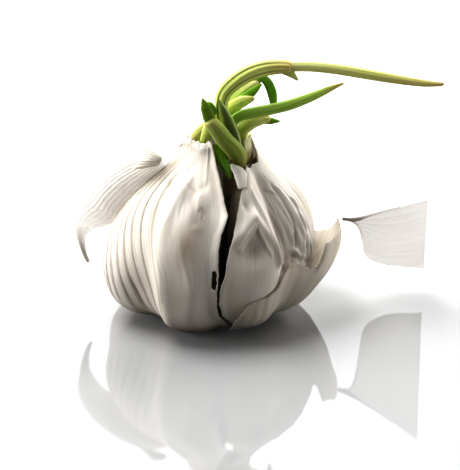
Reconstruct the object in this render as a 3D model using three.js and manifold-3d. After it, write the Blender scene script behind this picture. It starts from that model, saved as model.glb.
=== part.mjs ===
// Sprouting garlic bulb: cloves on a basal plate, wrapped in split papery skins, with shoots at the neck.
// Millimetres, +Z up. The origin is the middle of the basal plate's underside, and -Y is the split side.

import * as THREE from 'three';
import { mergeVertices } from 'three/addons/utils/BufferGeometryUtils.js';
import Module from 'manifold-3d';

const wasm = await Module();
wasm.setup();

// Driving dimensions
const skinThickness = 0.6;
const leafThickness = 0.7;
const plateRadius = 11.5;
const plateHeight = 2.6;
const rootStubs = 16;
const neckLean = 1.9;
const neckHeight = 48;
const coreRadius = 8.3;
const cloveInset = 1.5;
const cloveTipHeight = 40.3;
const pleatDepth = 0.28;
const wrinkleDepth = 0.22;
const gatherBearing = -75;
const gatherSpread = 40;
const wrapperPleats = 58;
const wrapperWrinkles = 46;
const cupVeins = 30;
const backSeamLift = 1.15;
const cupStandoff = 1.25;
const beakFlare = 7;

// Outer skin along one rib, from under the belly up to the neck: radius, height
const profile = curveThrough([
  [14.0, 1.5, 0], [18.8, 0.75, 0], [22.9, 2.3, 0], [25.9, 5.9, 0], [27.4, 11.3, 0], [27.6, 17.0, 0],
  [26.6, 22.3, 0], [24.2, 27.4, 0], [20.7, 32.2, 0], [16.6, 36.2, 0], [13.0, 39.3, 0], [10.4, 42.0, 0],
  [8.9, 44.8, 0], [8.5, neckHeight, 0],
]);

// Cloves by bearing from the split side towards +X, in degrees. swell and lift move the belly out and up,
// furrow is the depth, as a share of the radius, of the valley towards the next clove, and aside turns
// the clove's own body away from the split, narrowing it.
const cloves = [
  { name: 'front_left', bearing: -16, swell: 0.7, lift: 0.3, furrow: 0.06 },
  { name: 'front_right', bearing: 27, swell: -0.2, lift: 1.7, furrow: 0.09, aside: 4 },
  { name: 'right', bearing: 70, swell: -0.3, lift: 2.0, furrow: 0.1 },
  { name: 'back_right', bearing: 113, swell: 0.2, lift: 1.9, furrow: 0.13 },
  { name: 'back', bearing: 158, swell: 0.4, lift: 1.6, furrow: 0.14 },
  { name: 'back_left', bearing: 203, swell: -0.3, lift: 0.9, furrow: 0.13 },
  { name: 'left_back', bearing: 248, swell: 1.2, lift: 0.5, furrow: 0.12 },
  { name: 'left', bearing: 293, swell: 1.2, lift: 1.2, furrow: 0.13 },
];

// Torn edges of the split between the two wrapper skins, as height and x, from the base up
const splitLeftEdge = [
  [0.5, 4.2], [3.0, 4.8], [5.0, 3.6], [7.0, 2.2], [10.0, 1.4], [18.5, 1.8], [26.0, 2.0],
  [28.5, 2.7], [31.8, 4.4], [34.8, 3.6], [38.0, 2.8], [42.0, 1.8], [48.0, 0.7],
];
const splitRightEdge = [
  [0.5, 6.4], [4.6, 5.2], [7.2, 2.9], [11.2, 2.0], [16.7, 2.5], [18.4, 3.3], [22.7, 4.1],
  [27.1, 4.9], [33.4, 6.2], [37.4, 6.8], [42.0, 8.2], [48.0, 9.0],
];

// Curves and small sums
function curveThrough(points) {
  return new THREE.CatmullRomCurve3(points.map((p) => new THREE.Vector3(...p)), false, 'centripetal');
}

function mix(a, b, share) {
  return a + (b - a) * share;
}

function smooth(share) {
  const x = THREE.MathUtils.clamp(share, 0, 1);
  return x * x * (3 - 2 * x);
}

function signedPower(value, power) {
  return Math.sign(value) * Math.abs(value) ** power;
}

// Value at x on a line of [x, value] points
function along(points, x) {
  if (x <= points[0][0]) return points[0][1];
  for (let i = 1; i < points.length; i += 1) {
    const [x0, y0] = points[i - 1];
    const [x1, y1] = points[i];
    if (x <= x1) return mix(y0, y1, (x - x0) / (x1 - x0));
  }
  return points[points.length - 1][1];
}

function evenly(values, share) {
  return along(values.map((value, i) => [i / (values.length - 1), value]), share);
}

// Torn edge: an uneven wave of about one unit either way
function ragged(x, seed) {
  const slow = 0.5 * Math.sin(x * 0.31 + seed) + 0.35 * Math.sin(x * 0.83 + 2.1 * seed);
  return slow + 0.25 * Math.sin(x * 1.7 + seed);
}

function stationAtHeight(height) {
  let low = 0.12;
  let high = 1;
  for (let i = 0; i < 24; i += 1) {
    const middle = (low + high) / 2;
    if (profile.getPointAt(middle).y < height) low = middle;
    else high = middle;
  }
  return (low + high) / 2;
}

// The bulb's lobed surface
function lobeAt(bearing) {
  const first = cloves[0].bearing;
  const turned = THREE.MathUtils.euclideanModulo(bearing - first, 360) + first;
  let i = cloves.length - 1;
  while (cloves[i].bearing > turned) i -= 1;
  const next = cloves[(i + 1) % cloves.length];
  const end = i === cloves.length - 1 ? next.bearing + 360 : next.bearing;
  const share = (turned - cloves[i].bearing) / (end - cloves[i].bearing);
  return {
    swell: mix(cloves[i].swell, next.swell, smooth(share)),
    lift: mix(cloves[i].lift, next.lift, smooth(share)),
    furrow: cloves[i].furrow * Math.sin(Math.PI * share) ** 2.5,
  };
}

// station runs 0 to 1 up the profile, proud is the distance outside the skin's smooth surface
function bulbPoint(bearing, station, proud) {
  const rib = profile.getPointAt(station);
  const direction = profile.getTangentAt(station);
  const lobe = lobeAt(bearing);
  const low = 1 - smooth(rib.y / 20);
  const body = smooth((45 - rib.y) / 15);
  const furrow = lobe.furrow * (0.8 + 0.7 * low) * (0.2 + 0.8 * body);
  const radius = (rib.x + lobe.swell * body + proud * direction.y) * (1 - furrow);
  const lean = neckLean * (rib.y / neckHeight) ** 2;
  const turn = THREE.MathUtils.degToRad(bearing);
  const height = rib.y - proud * direction.x + lobe.lift * low;
  return new THREE.Vector3(lean + radius * Math.sin(turn), -radius * Math.cos(turn), height);
}

function bearingOfX(x, station) {
  const rib = profile.getPointAt(station);
  const lean = neckLean * (rib.y / neckHeight) ** 2;
  return THREE.MathUtils.radToDeg(Math.asin((x - lean) / rib.x));
}

// Solids
function closedGeometry(vertices, faces) {
  let volume = 0;
  for (const [a, b, c] of faces) {
    volume += vertices[a].dot(vertices[b].clone().cross(vertices[c])) / 6;
  }
  const turned = volume < 0 ? faces.map(([a, b, c]) => [a, c, b]) : faces;
  const geometry = new THREE.BufferGeometry().setFromPoints(vertices);
  geometry.setIndex(turned.flat());
  geometry.computeVertexNormals();
  return geometry;
}

// A sheet of even thickness under surface(u, v), split into triangles alike on both faces
function sheet(surface, columns, rows, thickness) {
  const outer = [];
  const inner = [];
  const reach = 0.002;
  for (let row = 0; row <= rows; row += 1) {
    for (let column = 0; column <= columns; column += 1) {
      const u = column / columns;
      const v = row / rows;
      const sideways = surface(Math.min(u + reach, 1), v).sub(surface(Math.max(u - reach, 0), v));
      const upwards = surface(u, Math.min(v + reach, 1)).sub(surface(u, Math.max(v - reach, 0)));
      const point = surface(u, v);
      outer.push(point);
      inner.push(point.clone().addScaledVector(sideways.cross(upwards).normalize(), -thickness));
    }
  }
  const width = columns + 1;
  const offset = outer.length;
  const faces = [];
  const wall = (a, b) => faces.push([a, a + offset, b + offset], [a, b + offset, b]);
  for (let row = 0; row < rows; row += 1) {
    for (let column = 0; column < columns; column += 1) {
      const a = row * width + column;
      const b = a + 1;
      const c = a + width;
      const d = c + 1;
      faces.push([a, b, d], [a, d, c]);
      faces.push([a + offset, d + offset, b + offset], [a + offset, c + offset, d + offset]);
    }
  }
  const top = rows * width;
  for (let column = 0; column < columns; column += 1) {
    wall(column, column + 1);
    wall(top + column + 1, top + column);
  }
  for (let row = 0; row < rows; row += 1) {
    wall((row + 1) * width, row * width);
    wall(row * width + columns, (row + 1) * width + columns);
  }
  return closedGeometry([...outer, ...inner], faces);
}

// Rings of points closed by a pole at each end
function ringBody(rings) {
  const sides = rings[0].length;
  const vertices = rings.flat();
  const middle = (ring) => ring.reduce((sum, p) => sum.add(p), new THREE.Vector3()).divideScalar(sides);
  const faces = [];
  for (let i = 0; i + 1 < rings.length; i += 1) {
    for (let k = 0; k < sides; k += 1) {
      const a = i * sides + k;
      const b = i * sides + ((k + 1) % sides);
      faces.push([a, b, b + sides], [a, b + sides, a + sides]);
    }
  }
  const last = (rings.length - 1) * sides;
  const start = vertices.push(middle(rings[0])) - 1;
  const end = vertices.push(middle(rings[rings.length - 1])) - 1;
  for (let k = 0; k < sides; k += 1) {
    const next = (k + 1) % sides;
    faces.push([start, next, k], [end, last + k, last + next]);
  }
  return closedGeometry(vertices, faces);
}

// A stem along a route: radii are spread evenly along it, flatness squeezes it towards the facing direction
function stem({ route, radii, steps, sides = 8, flatness = 1, facing = [0, -1, 0.2] }) {
  const path = curveThrough(route);
  const rings = [];
  for (let i = 0; i <= steps; i += 1) {
    const share = i / steps;
    const centre = path.getPointAt(share);
    const forward = path.getTangentAt(share);
    const side = new THREE.Vector3(...facing).cross(forward).normalize();
    const up = forward.clone().cross(side).normalize();
    const radius = evenly(radii, share);
    const ring = [];
    for (let k = 0; k < sides; k += 1) {
      const turn = (2 * Math.PI * (k + 0.5)) / sides;
      const point = centre.clone().addScaledVector(side, radius * Math.cos(turn));
      ring.push(point.addScaledVector(up, radius * flatness * Math.sin(turn)));
    }
    rings.push(ring);
  }
  return ringBody(rings);
}

// A leaf blade along a route: its edges bend towards the facing direction, by curl radians at each edge
function blade({ route, halfWidths, steps, across = 4, curl = 0.8, facing = [0, -1, 0.2] }) {
  const path = curveThrough(route);
  return sheet((u, v) => {
    const centre = path.getPointAt(v);
    const forward = path.getTangentAt(v);
    const side = new THREE.Vector3(...facing).cross(forward).normalize();
    const open = forward.clone().cross(side).normalize();
    const bend = (2 * u - 1) * curl;
    const radius = evenly(halfWidths, v) / Math.sin(curl);
    centre.addScaledVector(side, radius * Math.sin(bend));
    return centre.addScaledVector(open, -radius * (1 - Math.cos(bend)));
  }, across, steps, leafThickness);
}

// A skin between two long edges that run from root to tip, ribbed lengthwise. bulge moves its middle out.
function skinBetween({ edgeA, edgeB, steps, ribs, ribDepth, bulge }) {
  const first = curveThrough(edgeA);
  const second = curveThrough(edgeB);
  return sheet((u, v) => {
    const a = first.getPointAt(v);
    const b = second.getPointAt(v);
    const out = new THREE.Vector3(...bulge).multiplyScalar(Math.sin(Math.PI * u) * Math.sin(Math.PI * v));
    const ribbed = ribDepth * Math.cos(Math.PI * ribs * u) * Math.min(1, 4 * v);
    const rise = new THREE.Vector3(...bulge).normalize().multiplyScalar(ribbed);
    return a.lerp(b, u).add(out).add(rise);
  }, ribs, steps, skinThickness);
}

function toManifold(geometry) {
  const bare = geometry.clone();
  bare.deleteAttribute('normal');
  const merged = mergeVertices(bare, 1e-5);
  return new wasm.Manifold(new wasm.Mesh({
    numProp: 3,
    vertProperties: Float32Array.from(merged.attributes.position.array),
    triVerts: Uint32Array.from(merged.index.array),
  }));
}

function fuse(geometries) {
  const body = geometries.map(toManifold).reduce((sum, next) => sum.add(next));
  const mesh = body.getMesh();
  const geometry = new THREE.BufferGeometry();
  geometry.setAttribute('position', new THREE.BufferAttribute(mesh.vertProperties, 3));
  geometry.setIndex(Array.from(mesh.triVerts));
  geometry.computeVertexNormals();
  return geometry;
}

// Finishes
const finish = (color, roughness) => new THREE.MeshStandardMaterial({ color, roughness, metalness: 0 });
const paperySkin = () => finish('#e8e2d6', 0.55);
const thinSkin = () => finish('#f4efe6', 0.5);
const beigeSkin = () => finish('#c9bd9c', 0.65);
const cloveSkin = () => finish('#d9cbb6', 0.5);
const corkyPlate = () => finish('#a38f6d', 0.9);
const oliveSheath = () => finish('#a3ac5a', 0.45);
const greenLeaf = () => finish('#4e7a22', 0.4);

const bulb = new THREE.Group();

function place(name, geometry, material) {
  const mesh = new THREE.Mesh(geometry, material);
  mesh.name = name;
  bulb.add(mesh);
}

// Basal plate: a flat corky disc with a ring of dried root stubs round its rim
function basalPlate() {
  const outline = [
    [0, 0], [plateRadius - 1.6, 0], [plateRadius - 0.5, 0.5], [plateRadius, 1.3],
    [plateRadius - 1.2, 2.0], [5, plateHeight], [0, plateHeight],
  ];
  const disc = new THREE.LatheGeometry(outline.map(([r, z]) => new THREE.Vector2(r, z)), 2 * rootStubs);
  disc.rotateX(Math.PI / 2);
  const spots = disc.attributes.position;
  for (let i = 0; i < spots.count; i += 1) {
    const turn = Math.atan2(spots.getY(i), spots.getX(i));
    const radius = Math.hypot(spots.getX(i), spots.getY(i));
    const stub = radius > plateRadius - 1.4 ? 0.35 * Math.cos(rootStubs * turn) : 0;
    const scale = radius > 0 ? (radius + stub) / radius : 1;
    spots.setXY(i, spots.getX(i) * scale, spots.getY(i) * scale);
  }
  disc.deleteAttribute('normal');
  disc.deleteAttribute('uv');
  return fuse([mergeVertices(disc, 1e-4)]);
}

// A clove: a rounded wedge between the core and the bulb's surface, pointed towards the neck
function cloveBody(clove, halfWidth) {
  const rings = 10;
  const sides = 14;
  const firstStation = 0.05;
  const lastStation = stationAtHeight(cloveTipHeight);
  const girth = [0.6, 0.88, 0.98, 1, 0.99, 0.95, 0.86, 0.7, 0.48, 0.16];
  const coreRadii = [12.7, 10.2, coreRadius, coreRadius, coreRadius, coreRadius, coreRadius, coreRadius];
  const aside = clove.aside ?? 0;
  const loops = [];
  for (let i = 0; i < rings; i += 1) {
    const share = i / (rings - 1);
    const station = mix(firstStation, lastStation, share);
    const lean = neckLean * share ** 2;
    const loop = [];
    for (let k = 0; k < sides; k += 1) {
      const turn = (2 * Math.PI * k) / sides;
      const across = (halfWidth - aside) * girth[i] * signedPower(Math.cos(turn), 0.75);
      const bearing = clove.bearing + aside + across;
      const outness = 0.5 + 0.5 * signedPower(Math.sin(turn), 0.8);
      const angle = THREE.MathUtils.degToRad(bearing);
      const core = evenly(coreRadii, share);
      const height = mix(3.4, 38.6, share);
      const inside = new THREE.Vector3(lean + core * Math.sin(angle), -core * Math.cos(angle), height);
      loop.push(inside.lerp(bulbPoint(bearing, station, -cloveInset), outness));
    }
    loops.push(loop);
  }
  return ringBody(loops);
}

// Left wrapper skin: from the back seam round the left side to the split, pleated from where it is gathered
function leftWrapper() {
  const backEdge = -195;
  return sheet((u, v) => {
    const rough = mix(backEdge, 6, u);
    const foot = mix(0.06, 0.03, u) + 0.012 * ragged(rough, 1.3);
    const rimHeight = 43.2 + 3.8 * smooth((rough + 95) / 40) + 0.6 * ragged(rough, 0.4);
    const station = mix(foot, stationAtHeight(rimHeight), v);
    const height = profile.getPointAt(station).y;
    const frontEdge = bearingOfX(along(splitLeftEdge, height), station);
    const even = mix(backEdge + 3 * ragged(height, 2), frontEdge, u);
    const off = (even - gatherBearing) / gatherSpread;
    const pull = 0.88 * smooth((height - 12) / 28) * (1 - 0.5 * smooth((height - 41) / 5));
    const held = pull * Math.exp(-off * off);
    const bearing = even - held * off * gatherSpread;
    const seam = smooth((-even - 163) / 14);
    const pleat = pleatDepth * Math.cos(Math.PI * wrapperPleats * u) * (1 - seam) * (1 - held);
    return bulbPoint(bearing, station, backSeamLift * seam + pleat * smooth(v * 5));
  }, wrapperPleats, 12, skinThickness);
}

// Right wrapper skin: from the split round the right side to the back seam, finely wrinkled
function rightWrapper() {
  const backEdge = 182;
  return sheet((u, v) => {
    const rough = mix(8, backEdge, u);
    const rimHeight = 40.6 + 4.2 * smooth((rough - 35) / 70) + 0.6 * ragged(rough, 2.2);
    const station = mix(0.04, stationAtHeight(rimHeight), v);
    const height = profile.getPointAt(station).y;
    const frontEdge = bearingOfX(along(splitRightEdge, height), station);
    const bearing = mix(frontEdge, backEdge + 2 * ragged(height, 1), u);
    const seam = smooth((bearing - 150) / 12);
    const wrinkle = wrinkleDepth * Math.cos(Math.PI * wrapperWrinkles * u) * (1 - seam);
    return bulbPoint(bearing, station, wrinkle * smooth((v - 0.2) * 4));
  }, wrapperWrinkles, 11, skinThickness);
}

// Lower cup skin: an outer skin torn off short, hugging the front and standing away at the right as a beak
function cupSkin() {
  const rimHeights = [
    [13, 4.5], [19, 11.0], [27, 12.2], [36, 13.6], [41, 17.0], [51, 18.6], [56, 15.0], [63, 15.4],
    [66, 20.6], [76, 21.8], [88, 21.8], [98, 20.4], [108, 17.4], [122, 14.6], [140, 11.0], [152, 6.5],
  ];
  return sheet((u, v) => {
    const bearing = mix(13, 152, u);
    const foot = mix(0.05, 0.12, smooth((bearing - 90) / 40));
    const station = mix(foot, stationAtHeight(along(rimHeights, bearing)), v);
    const height = profile.getPointAt(station).y;
    const flare = Math.exp(-(((bearing - 88) / 26) ** 2)) * smooth((height - 3) / 20);
    const vein = 0.14 * Math.cos(Math.PI * cupVeins * u) * smooth(v * 4);
    return bulbPoint(bearing, station, cupStandoff + beakFlare * flare + vein);
  }, cupVeins, 8, skinThickness);
}

// Peeled flap: a stiff torn piece of skin that hangs from a rolled strand off the tip of the cup skin
function peeledFlap() {
  return skinBetween({
    edgeA: [[33.2, -1.6, 24.5], [36.3, -3, 25.0], [41.2, -5, 27.4], [53.5, -12.2, 33.4]],
    edgeB: [
      [33.3, -1.0, 23.7], [36.4, -1.6, 23.7], [38.6, 3, 17], [40.6, 7.5, 10], [46.5, 9, 7.1],
      [55.7, 8.6, 6.5],
    ],
    steps: 14,
    ribs: 8,
    ribDepth: 0.12,
    bulge: [0, -1.6, -1.4],
  });
}

// Wing: a thin outer skin that has sprung away from the left side. Its root follows the bulb's pleats down
// from the gather, and its tip hangs free.
function wingSkin() {
  const rootLine = [[-72, 39.4], [-73, 36], [-74.5, 32], [-76, 28], [-78, 25]];
  const standoff = 1.3;
  const root = rootLine.map(([bearing, height]) => bulbPoint(bearing, stationAtHeight(height), standoff));
  return skinBetween({
    edgeA: [
      [-13.2, -1.6, 41.4], [-17.2, 0, 42.8], [-28, 1, 38.2], [-35.4, 2, 29.0], [-34.8, 2, 18.5],
      [-32.4, 0.8, 11.4],
    ],
    edgeB: [
      ...root.map((p) => p.toArray()), [-28.9, -3.4, 22.9], [-30.6, -1.8, 21.7], [-32.4, 0, 18.8],
      [-32.6, 1, 14.8], [-31.8, 1.2, 11.4],
    ],
    steps: 18,
    ribs: 12,
    ribDepth: 0.16,
    bulge: [-1.0, -2.4, 0.6],
  });
}

// Torn fan: a small ridged scrap of skin with a straight torn edge, standing up from the gather
function tornFan() {
  return skinBetween({
    edgeA: [[-12.2, -5.7, 42.2], [-14.2, -4.6, 43.4], [-16.2, -3.5, 44.2]],
    edgeB: [[-12.9, -6.5, 40.8], [-15.9, -6.1, 40.1], [-19.2, -5.4, 39.3]],
    steps: 4,
    ribs: 8,
    ribDepth: 0.15,
    bulge: [0, -0.6, 0.5],
  });
}

// Neck skins: a dry sheath behind and right of the shoots, and a cream skin tip at the top of the split
function neckSheath() {
  return sheet((u, v) => {
    const turn = THREE.MathUtils.degToRad(mix(48, 200, u));
    const top = 46.6 - 2.5 * smooth((u - 0.3) / 0.7) + 0.5 * ragged(40 * u, 1);
    const height = mix(40.0, top, v);
    const radius = mix(7.0, 6.3, v);
    return new THREE.Vector3(3.4 + radius * Math.sin(turn), 0.2 - radius * Math.cos(turn), height);
  }, 14, 6, skinThickness);
}

function splitSkinTip() {
  return skinBetween({
    edgeA: [[4.6, -10.9, 42.4], [5.6, -12.3, 40.4], [6.7, -15.0, 37.5]],
    edgeB: [[5.2, -10.8, 42.5], [8.1, -11.0, 40.8], [8.6, -14.2, 37.6]],
    steps: 5,
    ribs: 2,
    ribDepth: 0,
    bulge: [0.2, -0.5, 0.2],
  });
}

// Shoots, each from the tip of its own clove
function frontShoot() {
  const sheath = stem({
    route: [
      [7.0, -5.0, 40.3], [6.7, -7.4, 43.4], [5.2, -9.4, 46.2], [3.6, -10.5, 48.4], [1.5, -11.5, 51.6],
      [-0.7, -12, 54.6],
    ],
    radii: [1.5, 1.9, 2.2, 2.2, 2.1, 1.9, 1.5],
    steps: 10,
  });
  const tipLeaf = stem({
    route: [[0.4, -11.7, 52.6], [-0.9, -12, 56.4], [-2.1, -12, 59.9]],
    radii: [1.3, 1.5, 1.2, 0.2],
    steps: 5,
    flatness: 0.6,
  });
  const openLeaf = blade({
    route: [[7.2, -8.6, 44.4], [6.8, -9.0, 46.9], [5.4, -9.8, 51.2], [3.6, -9.8, 55.4], [1.9, -9.4, 58.6]],
    halfWidths: [0.5, 1.3, 1.7, 1.6, 1.1, 0.25],
    steps: 9,
    curl: 1.15,
    facing: [0.55, -1, 0.25],
  });
  return fuse([sheath, tipLeaf, openLeaf]);
}

function longShoot() {
  const sheath = stem({
    route: [
      [1.9, -4.4, 42.2], [2.4, -5.3, 47], [2.5, -5.6, 52], [2.5, -5.5, 56.3], [3.2, -5, 58.9],
      [5.6, -4.5, 61.4], [8.8, -4, 63.4], [12.4, -3.5, 64.6], [16.1, -3, 65.0], [19.8, -3, 65.0],
    ],
    radii: [1.5, 1.4, 1.4, 1.4, 1.7, 1.9, 2.0, 2.0, 1.8, 1.5],
    steps: 18,
  });
  const sheathTip = stem({
    route: [[17.2, -3.2, 64.6], [19.4, -3.4, 63.6], [21.4, -3.4, 61.6]],
    radii: [1.2, 1.0, 0.2],
    steps: 4,
    sides: 6,
    flatness: 0.6,
  });
  const leaf = stem({
    route: [
      [18.4, -3, 65.1], [25.4, -3, 65.0], [32.8, -3, 64.1], [40.2, -3, 62.8], [47.6, -3, 61.5],
      [53.8, -3, 60.7], [57.4, -3, 60.6],
    ],
    radii: [1.2, 1.2, 1.25, 1.25, 1.2, 1.1, 0.9, 0.25],
    steps: 16,
    flatness: 0.75,
  });
  return fuse([sheath, sheathTip, leaf]);
}

function middleShoot() {
  return stem({
    route: [
      [4.2, -1.4, 42.4], [4.6, -2.3, 47.3], [5.4, -3.9, 51.1], [7.0, -4.5, 52.8], [9.8, -4.5, 53.6],
      [14.5, -4, 54.4], [19.9, -3.5, 55.6], [25.6, -3, 57.7], [29.8, -2.5, 59.5], [32.8, -2, 60.6],
    ],
    radii: [1.2, 1.2, 1.25, 1.3, 1.35, 1.3, 1.25, 1.1, 0.8, 0.2],
    steps: 24,
    flatness: 0.85,
  });
}

function shortShoot() {
  const sheath = stem({
    route: [
      [7.0, 1.2, 41.6], [7.0, 0.4, 45.2], [7.7, -0.4, 48.0], [9.8, -0.8, 49.9], [12.4, -0.5, 50.7],
      [14.8, 0, 50.7],
    ],
    radii: [1.4, 1.5, 1.6, 1.7, 1.5, 0.9],
    steps: 10,
  });
  const tipLeaf = stem({
    route: [[12.8, -0.4, 50.3], [15.1, 0, 50.1], [17.3, 0, 50.0]],
    radii: [0.9, 0.8, 0.15],
    steps: 4,
    sides: 6,
    flatness: 0.7,
  });
  return fuse([sheath, tipLeaf]);
}

function leftShoot() {
  const sheath = stem({
    route: [
      [-5.4, -2.4, 42], [-4.6, -2, 45.2], [-2.9, -1, 47.2], [0.1, 0, 49.2], [3.6, 1, 52.3],
      [6.6, 2, 55.2], [9.6, 2.5, 57.9], [11.8, 3, 59.5],
    ],
    radii: [1.3, 1.4, 1.5, 1.7, 2.2, 2.4, 2.0, 0.5],
    steps: 14,
  });
  const greenEdge = stem({
    route: [[5.2, 0.2, 54.4], [7.6, -0.2, 55.9], [10.4, 0, 57.8], [12.6, 0.4, 59.8]],
    radii: [0.8, 1.1, 1.0, 0.2],
    steps: 5,
    sides: 6,
    flatness: 0.6,
  });
  const paleSheath = stem({
    route: [[3.4, 0, 52.3], [5.4, -1.2, 54.3], [7.8, -1.6, 55.7], [10.8, -1.6, 56.6]],
    radii: [1.2, 1.5, 1.4, 0.5],
    steps: 5,
    flatness: 0.7,
  });
  const curlingLeaf = blade({
    route: [
      [9.0, 2.6, 57.2], [11.2, 2.8, 59.2], [12.6, 3.2, 60.2], [13.9, 3.6, 59.2], [15.1, 4, 56.6],
      [15.6, 4.5, 53.6], [15.4, 5, 50.2],
    ],
    halfWidths: [0.6, 0.8, 1.0, 1.2, 1.2, 0.9, 0.25],
    steps: 12,
    across: 2,
    curl: 0.6,
    facing: [0.3, -1, 0.1],
  });
  return fuse([sheath, greenEdge, paleSheath, curlingLeaf]);
}

function budShoot() {
  const stalk = stem({
    route: [[-1.6, -3.8, 42.6], [-1.7, -5.0, 46.5], [-0.7, -6.9, 51.0], [0.0, -7.2, 54.6]],
    radii: [1.0, 1.1, 1.2, 1.1],
    steps: 6,
  });
  const curledLeaf = stem({
    route: [[0.6, -7.3, 53.8], [0.2, -7.5, 55.8], [-0.6, -7.5, 56.9], [-1.5, -7.5, 56.3]],
    radii: [0.9, 1.0, 0.8, 0.3],
    steps: 6,
    sides: 6,
  });
  return fuse([stalk, curledLeaf]);
}

function darkLeaf() {
  return blade({
    route: [[0.4, -6.6, 46.2], [1.5, -7.9, 44.5], [2.9, -9.1, 42.3], [4.1, -9.9, 40.2], [4.7, -10.5, 38.6]],
    halfWidths: [0.4, 1.2, 1.4, 1.1, 0.3],
    steps: 6,
    across: 2,
    curl: 0.5,
  });
}

place('basal_plate', basalPlate(), corkyPlate());
cloves.forEach((clove, i) => {
  const next = cloves[(i + 1) % cloves.length];
  const before = cloves[(i + cloves.length - 1) % cloves.length];
  const ahead = THREE.MathUtils.euclideanModulo(next.bearing - clove.bearing, 360);
  const behind = THREE.MathUtils.euclideanModulo(clove.bearing - before.bearing, 360);
  place(`clove_${clove.name}`, cloveBody(clove, Math.min(ahead, behind) / 2 - 1.4), cloveSkin());
});
place('clove_inner_front', stem({
  route: [[0.6, -2.4, 3.3], [1.2, -3.0, 14], [2.0, -3.5, 28], [2.6, -3.9, 41.2]],
  radii: [2.2, 4.2, 4.5, 4.5, 4.5, 4.2, 3.4, 1.8, 0.3],
  steps: 11,
  sides: 12,
}), cloveSkin());
place('clove_inner_back', stem({
  route: [[-0.4, 3.6, 3.3], [-0.2, 4.6, 14], [0.6, 4.6, 28], [1.2, 4.2, 39.4]],
  radii: [1.6, 2.8, 3.0, 3.1, 3.0, 2.7, 2.1, 1.2, 0.3],
  steps: 9,
  sides: 10,
}), cloveSkin());
place('wrapper_left', leftWrapper(), paperySkin());
place('wrapper_right', rightWrapper(), paperySkin());
place('cup_skin', cupSkin(), paperySkin());
place('peeled_flap', peeledFlap(), thinSkin());
place('wing_skin', wingSkin(), thinSkin());
place('torn_fan', tornFan(), beigeSkin());
place('neck_sheath', neckSheath(), beigeSkin());
place('split_skin_tip', splitSkinTip(), paperySkin());
place('shoot_front', frontShoot(), oliveSheath());
place('shoot_long', longShoot(), oliveSheath());
place('shoot_middle', middleShoot(), oliveSheath());
place('shoot_short', shortShoot(), oliveSheath());
place('shoot_left', leftShoot(), oliveSheath());
place('shoot_bud', budShoot(), greenLeaf());
place('leaf_dark', darkLeaf(), greenLeaf());

export default bulb;
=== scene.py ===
import math

import bmesh
import bpy
import numpy as np
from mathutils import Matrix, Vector


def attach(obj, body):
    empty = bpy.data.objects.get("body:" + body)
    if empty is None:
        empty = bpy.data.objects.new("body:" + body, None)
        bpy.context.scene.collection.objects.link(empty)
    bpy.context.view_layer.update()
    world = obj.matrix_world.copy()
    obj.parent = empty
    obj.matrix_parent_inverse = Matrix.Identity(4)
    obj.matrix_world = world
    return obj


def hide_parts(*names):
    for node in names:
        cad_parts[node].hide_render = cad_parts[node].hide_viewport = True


# A sprouting garlic bulb with a split papery wrapper. Sizes are in millimetres, and -Y is the split side.
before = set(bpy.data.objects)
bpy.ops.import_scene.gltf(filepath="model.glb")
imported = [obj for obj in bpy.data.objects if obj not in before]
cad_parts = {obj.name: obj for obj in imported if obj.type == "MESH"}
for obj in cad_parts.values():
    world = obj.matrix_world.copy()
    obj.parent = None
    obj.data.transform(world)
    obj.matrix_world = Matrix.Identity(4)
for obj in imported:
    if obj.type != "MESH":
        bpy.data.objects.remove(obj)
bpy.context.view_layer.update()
mm = 0.001

bulb = {
    "neckHeight": 48,
    "neckLean": 1.9,
    "underside": 20,  # below this height a clove's lift shows and its furrows deepen
    "lobesEnd": 45,  # above this height the skins are round
    "lobesGrow": 15,  # below that, the lobes reach their full swell over this height
    "profile": [  # radius and height of the outer skin, from under the belly up to the neck
        (14.0, 1.5, 0), (18.8, 0.75, 0), (22.9, 2.3, 0), (25.9, 5.9, 0), (27.4, 11.3, 0),
        (27.6, 17.0, 0), (26.6, 22.3, 0), (24.2, 27.4, 0), (20.7, 32.2, 0), (16.6, 36.2, 0),
        (13.0, 39.3, 0), (10.4, 42.0, 0), (8.9, 44.8, 0), (8.5, 48.0, 0),
    ],
    "cloves": [  # bearing from the split side towards +X, swell, lift, furrow towards the next clove
        (-16, 0.7, 0.3, 0.06), (27, -0.2, 1.7, 0.09), (70, -0.3, 2.0, 0.1), (113, 0.2, 1.9, 0.13),
        (158, 0.4, 1.6, 0.14), (203, -0.3, 0.9, 0.13), (248, 1.2, 0.5, 0.12), (293, 1.2, 1.2, 0.13),
    ],
    "splitLeftEdge": [  # height and x of the torn edge, from the base up
        (0.5, 4.2), (3.0, 4.8), (5.0, 3.6), (7.0, 2.2), (10.0, 1.4), (18.5, 1.8), (26.0, 2.0),
        (28.5, 2.6), (31.8, 4.3), (34.8, 3.3), (38.0, 2.4), (42.0, 1.4), (48.0, 0.4),
    ],
    "splitRightEdge": [
        (0.5, 6.4), (4.6, 5.2), (7.2, 2.9), (11.2, 2.0), (16.7, 2.5), (18.4, 3.3), (22.7, 4.1),
        (27.1, 5.2), (33.4, 6.8), (37.4, 7.5), (42.0, 8.6), (48.0, 9.2),
    ],
}


# Curves and small sums, on arrays
def mix(a, b, share):
    return a + (b - a) * share


def smooth(share):
    x = np.clip(share, 0, 1)
    return x * x * (3 - 2 * x)


def eased(value, start, end):  # 0 up to the start, 1 from the end on, and smooth between them
    return smooth((value - start) / (end - start))


def along(points, x):
    table = np.array(points, float)
    return np.interp(x, table[:, 0], table[:, 1])


def evenly(values, share):
    return np.interp(share, np.linspace(0, 1, len(values)), values)


def ragged(x, seed):  # torn edge: an uneven wave of about one unit either way
    slow = 0.5 * np.sin(x * 0.31 + seed) + 0.35 * np.sin(x * 0.83 + 2.1 * seed)
    return slow + 0.25 * np.sin(x * 1.7 + seed)


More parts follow.
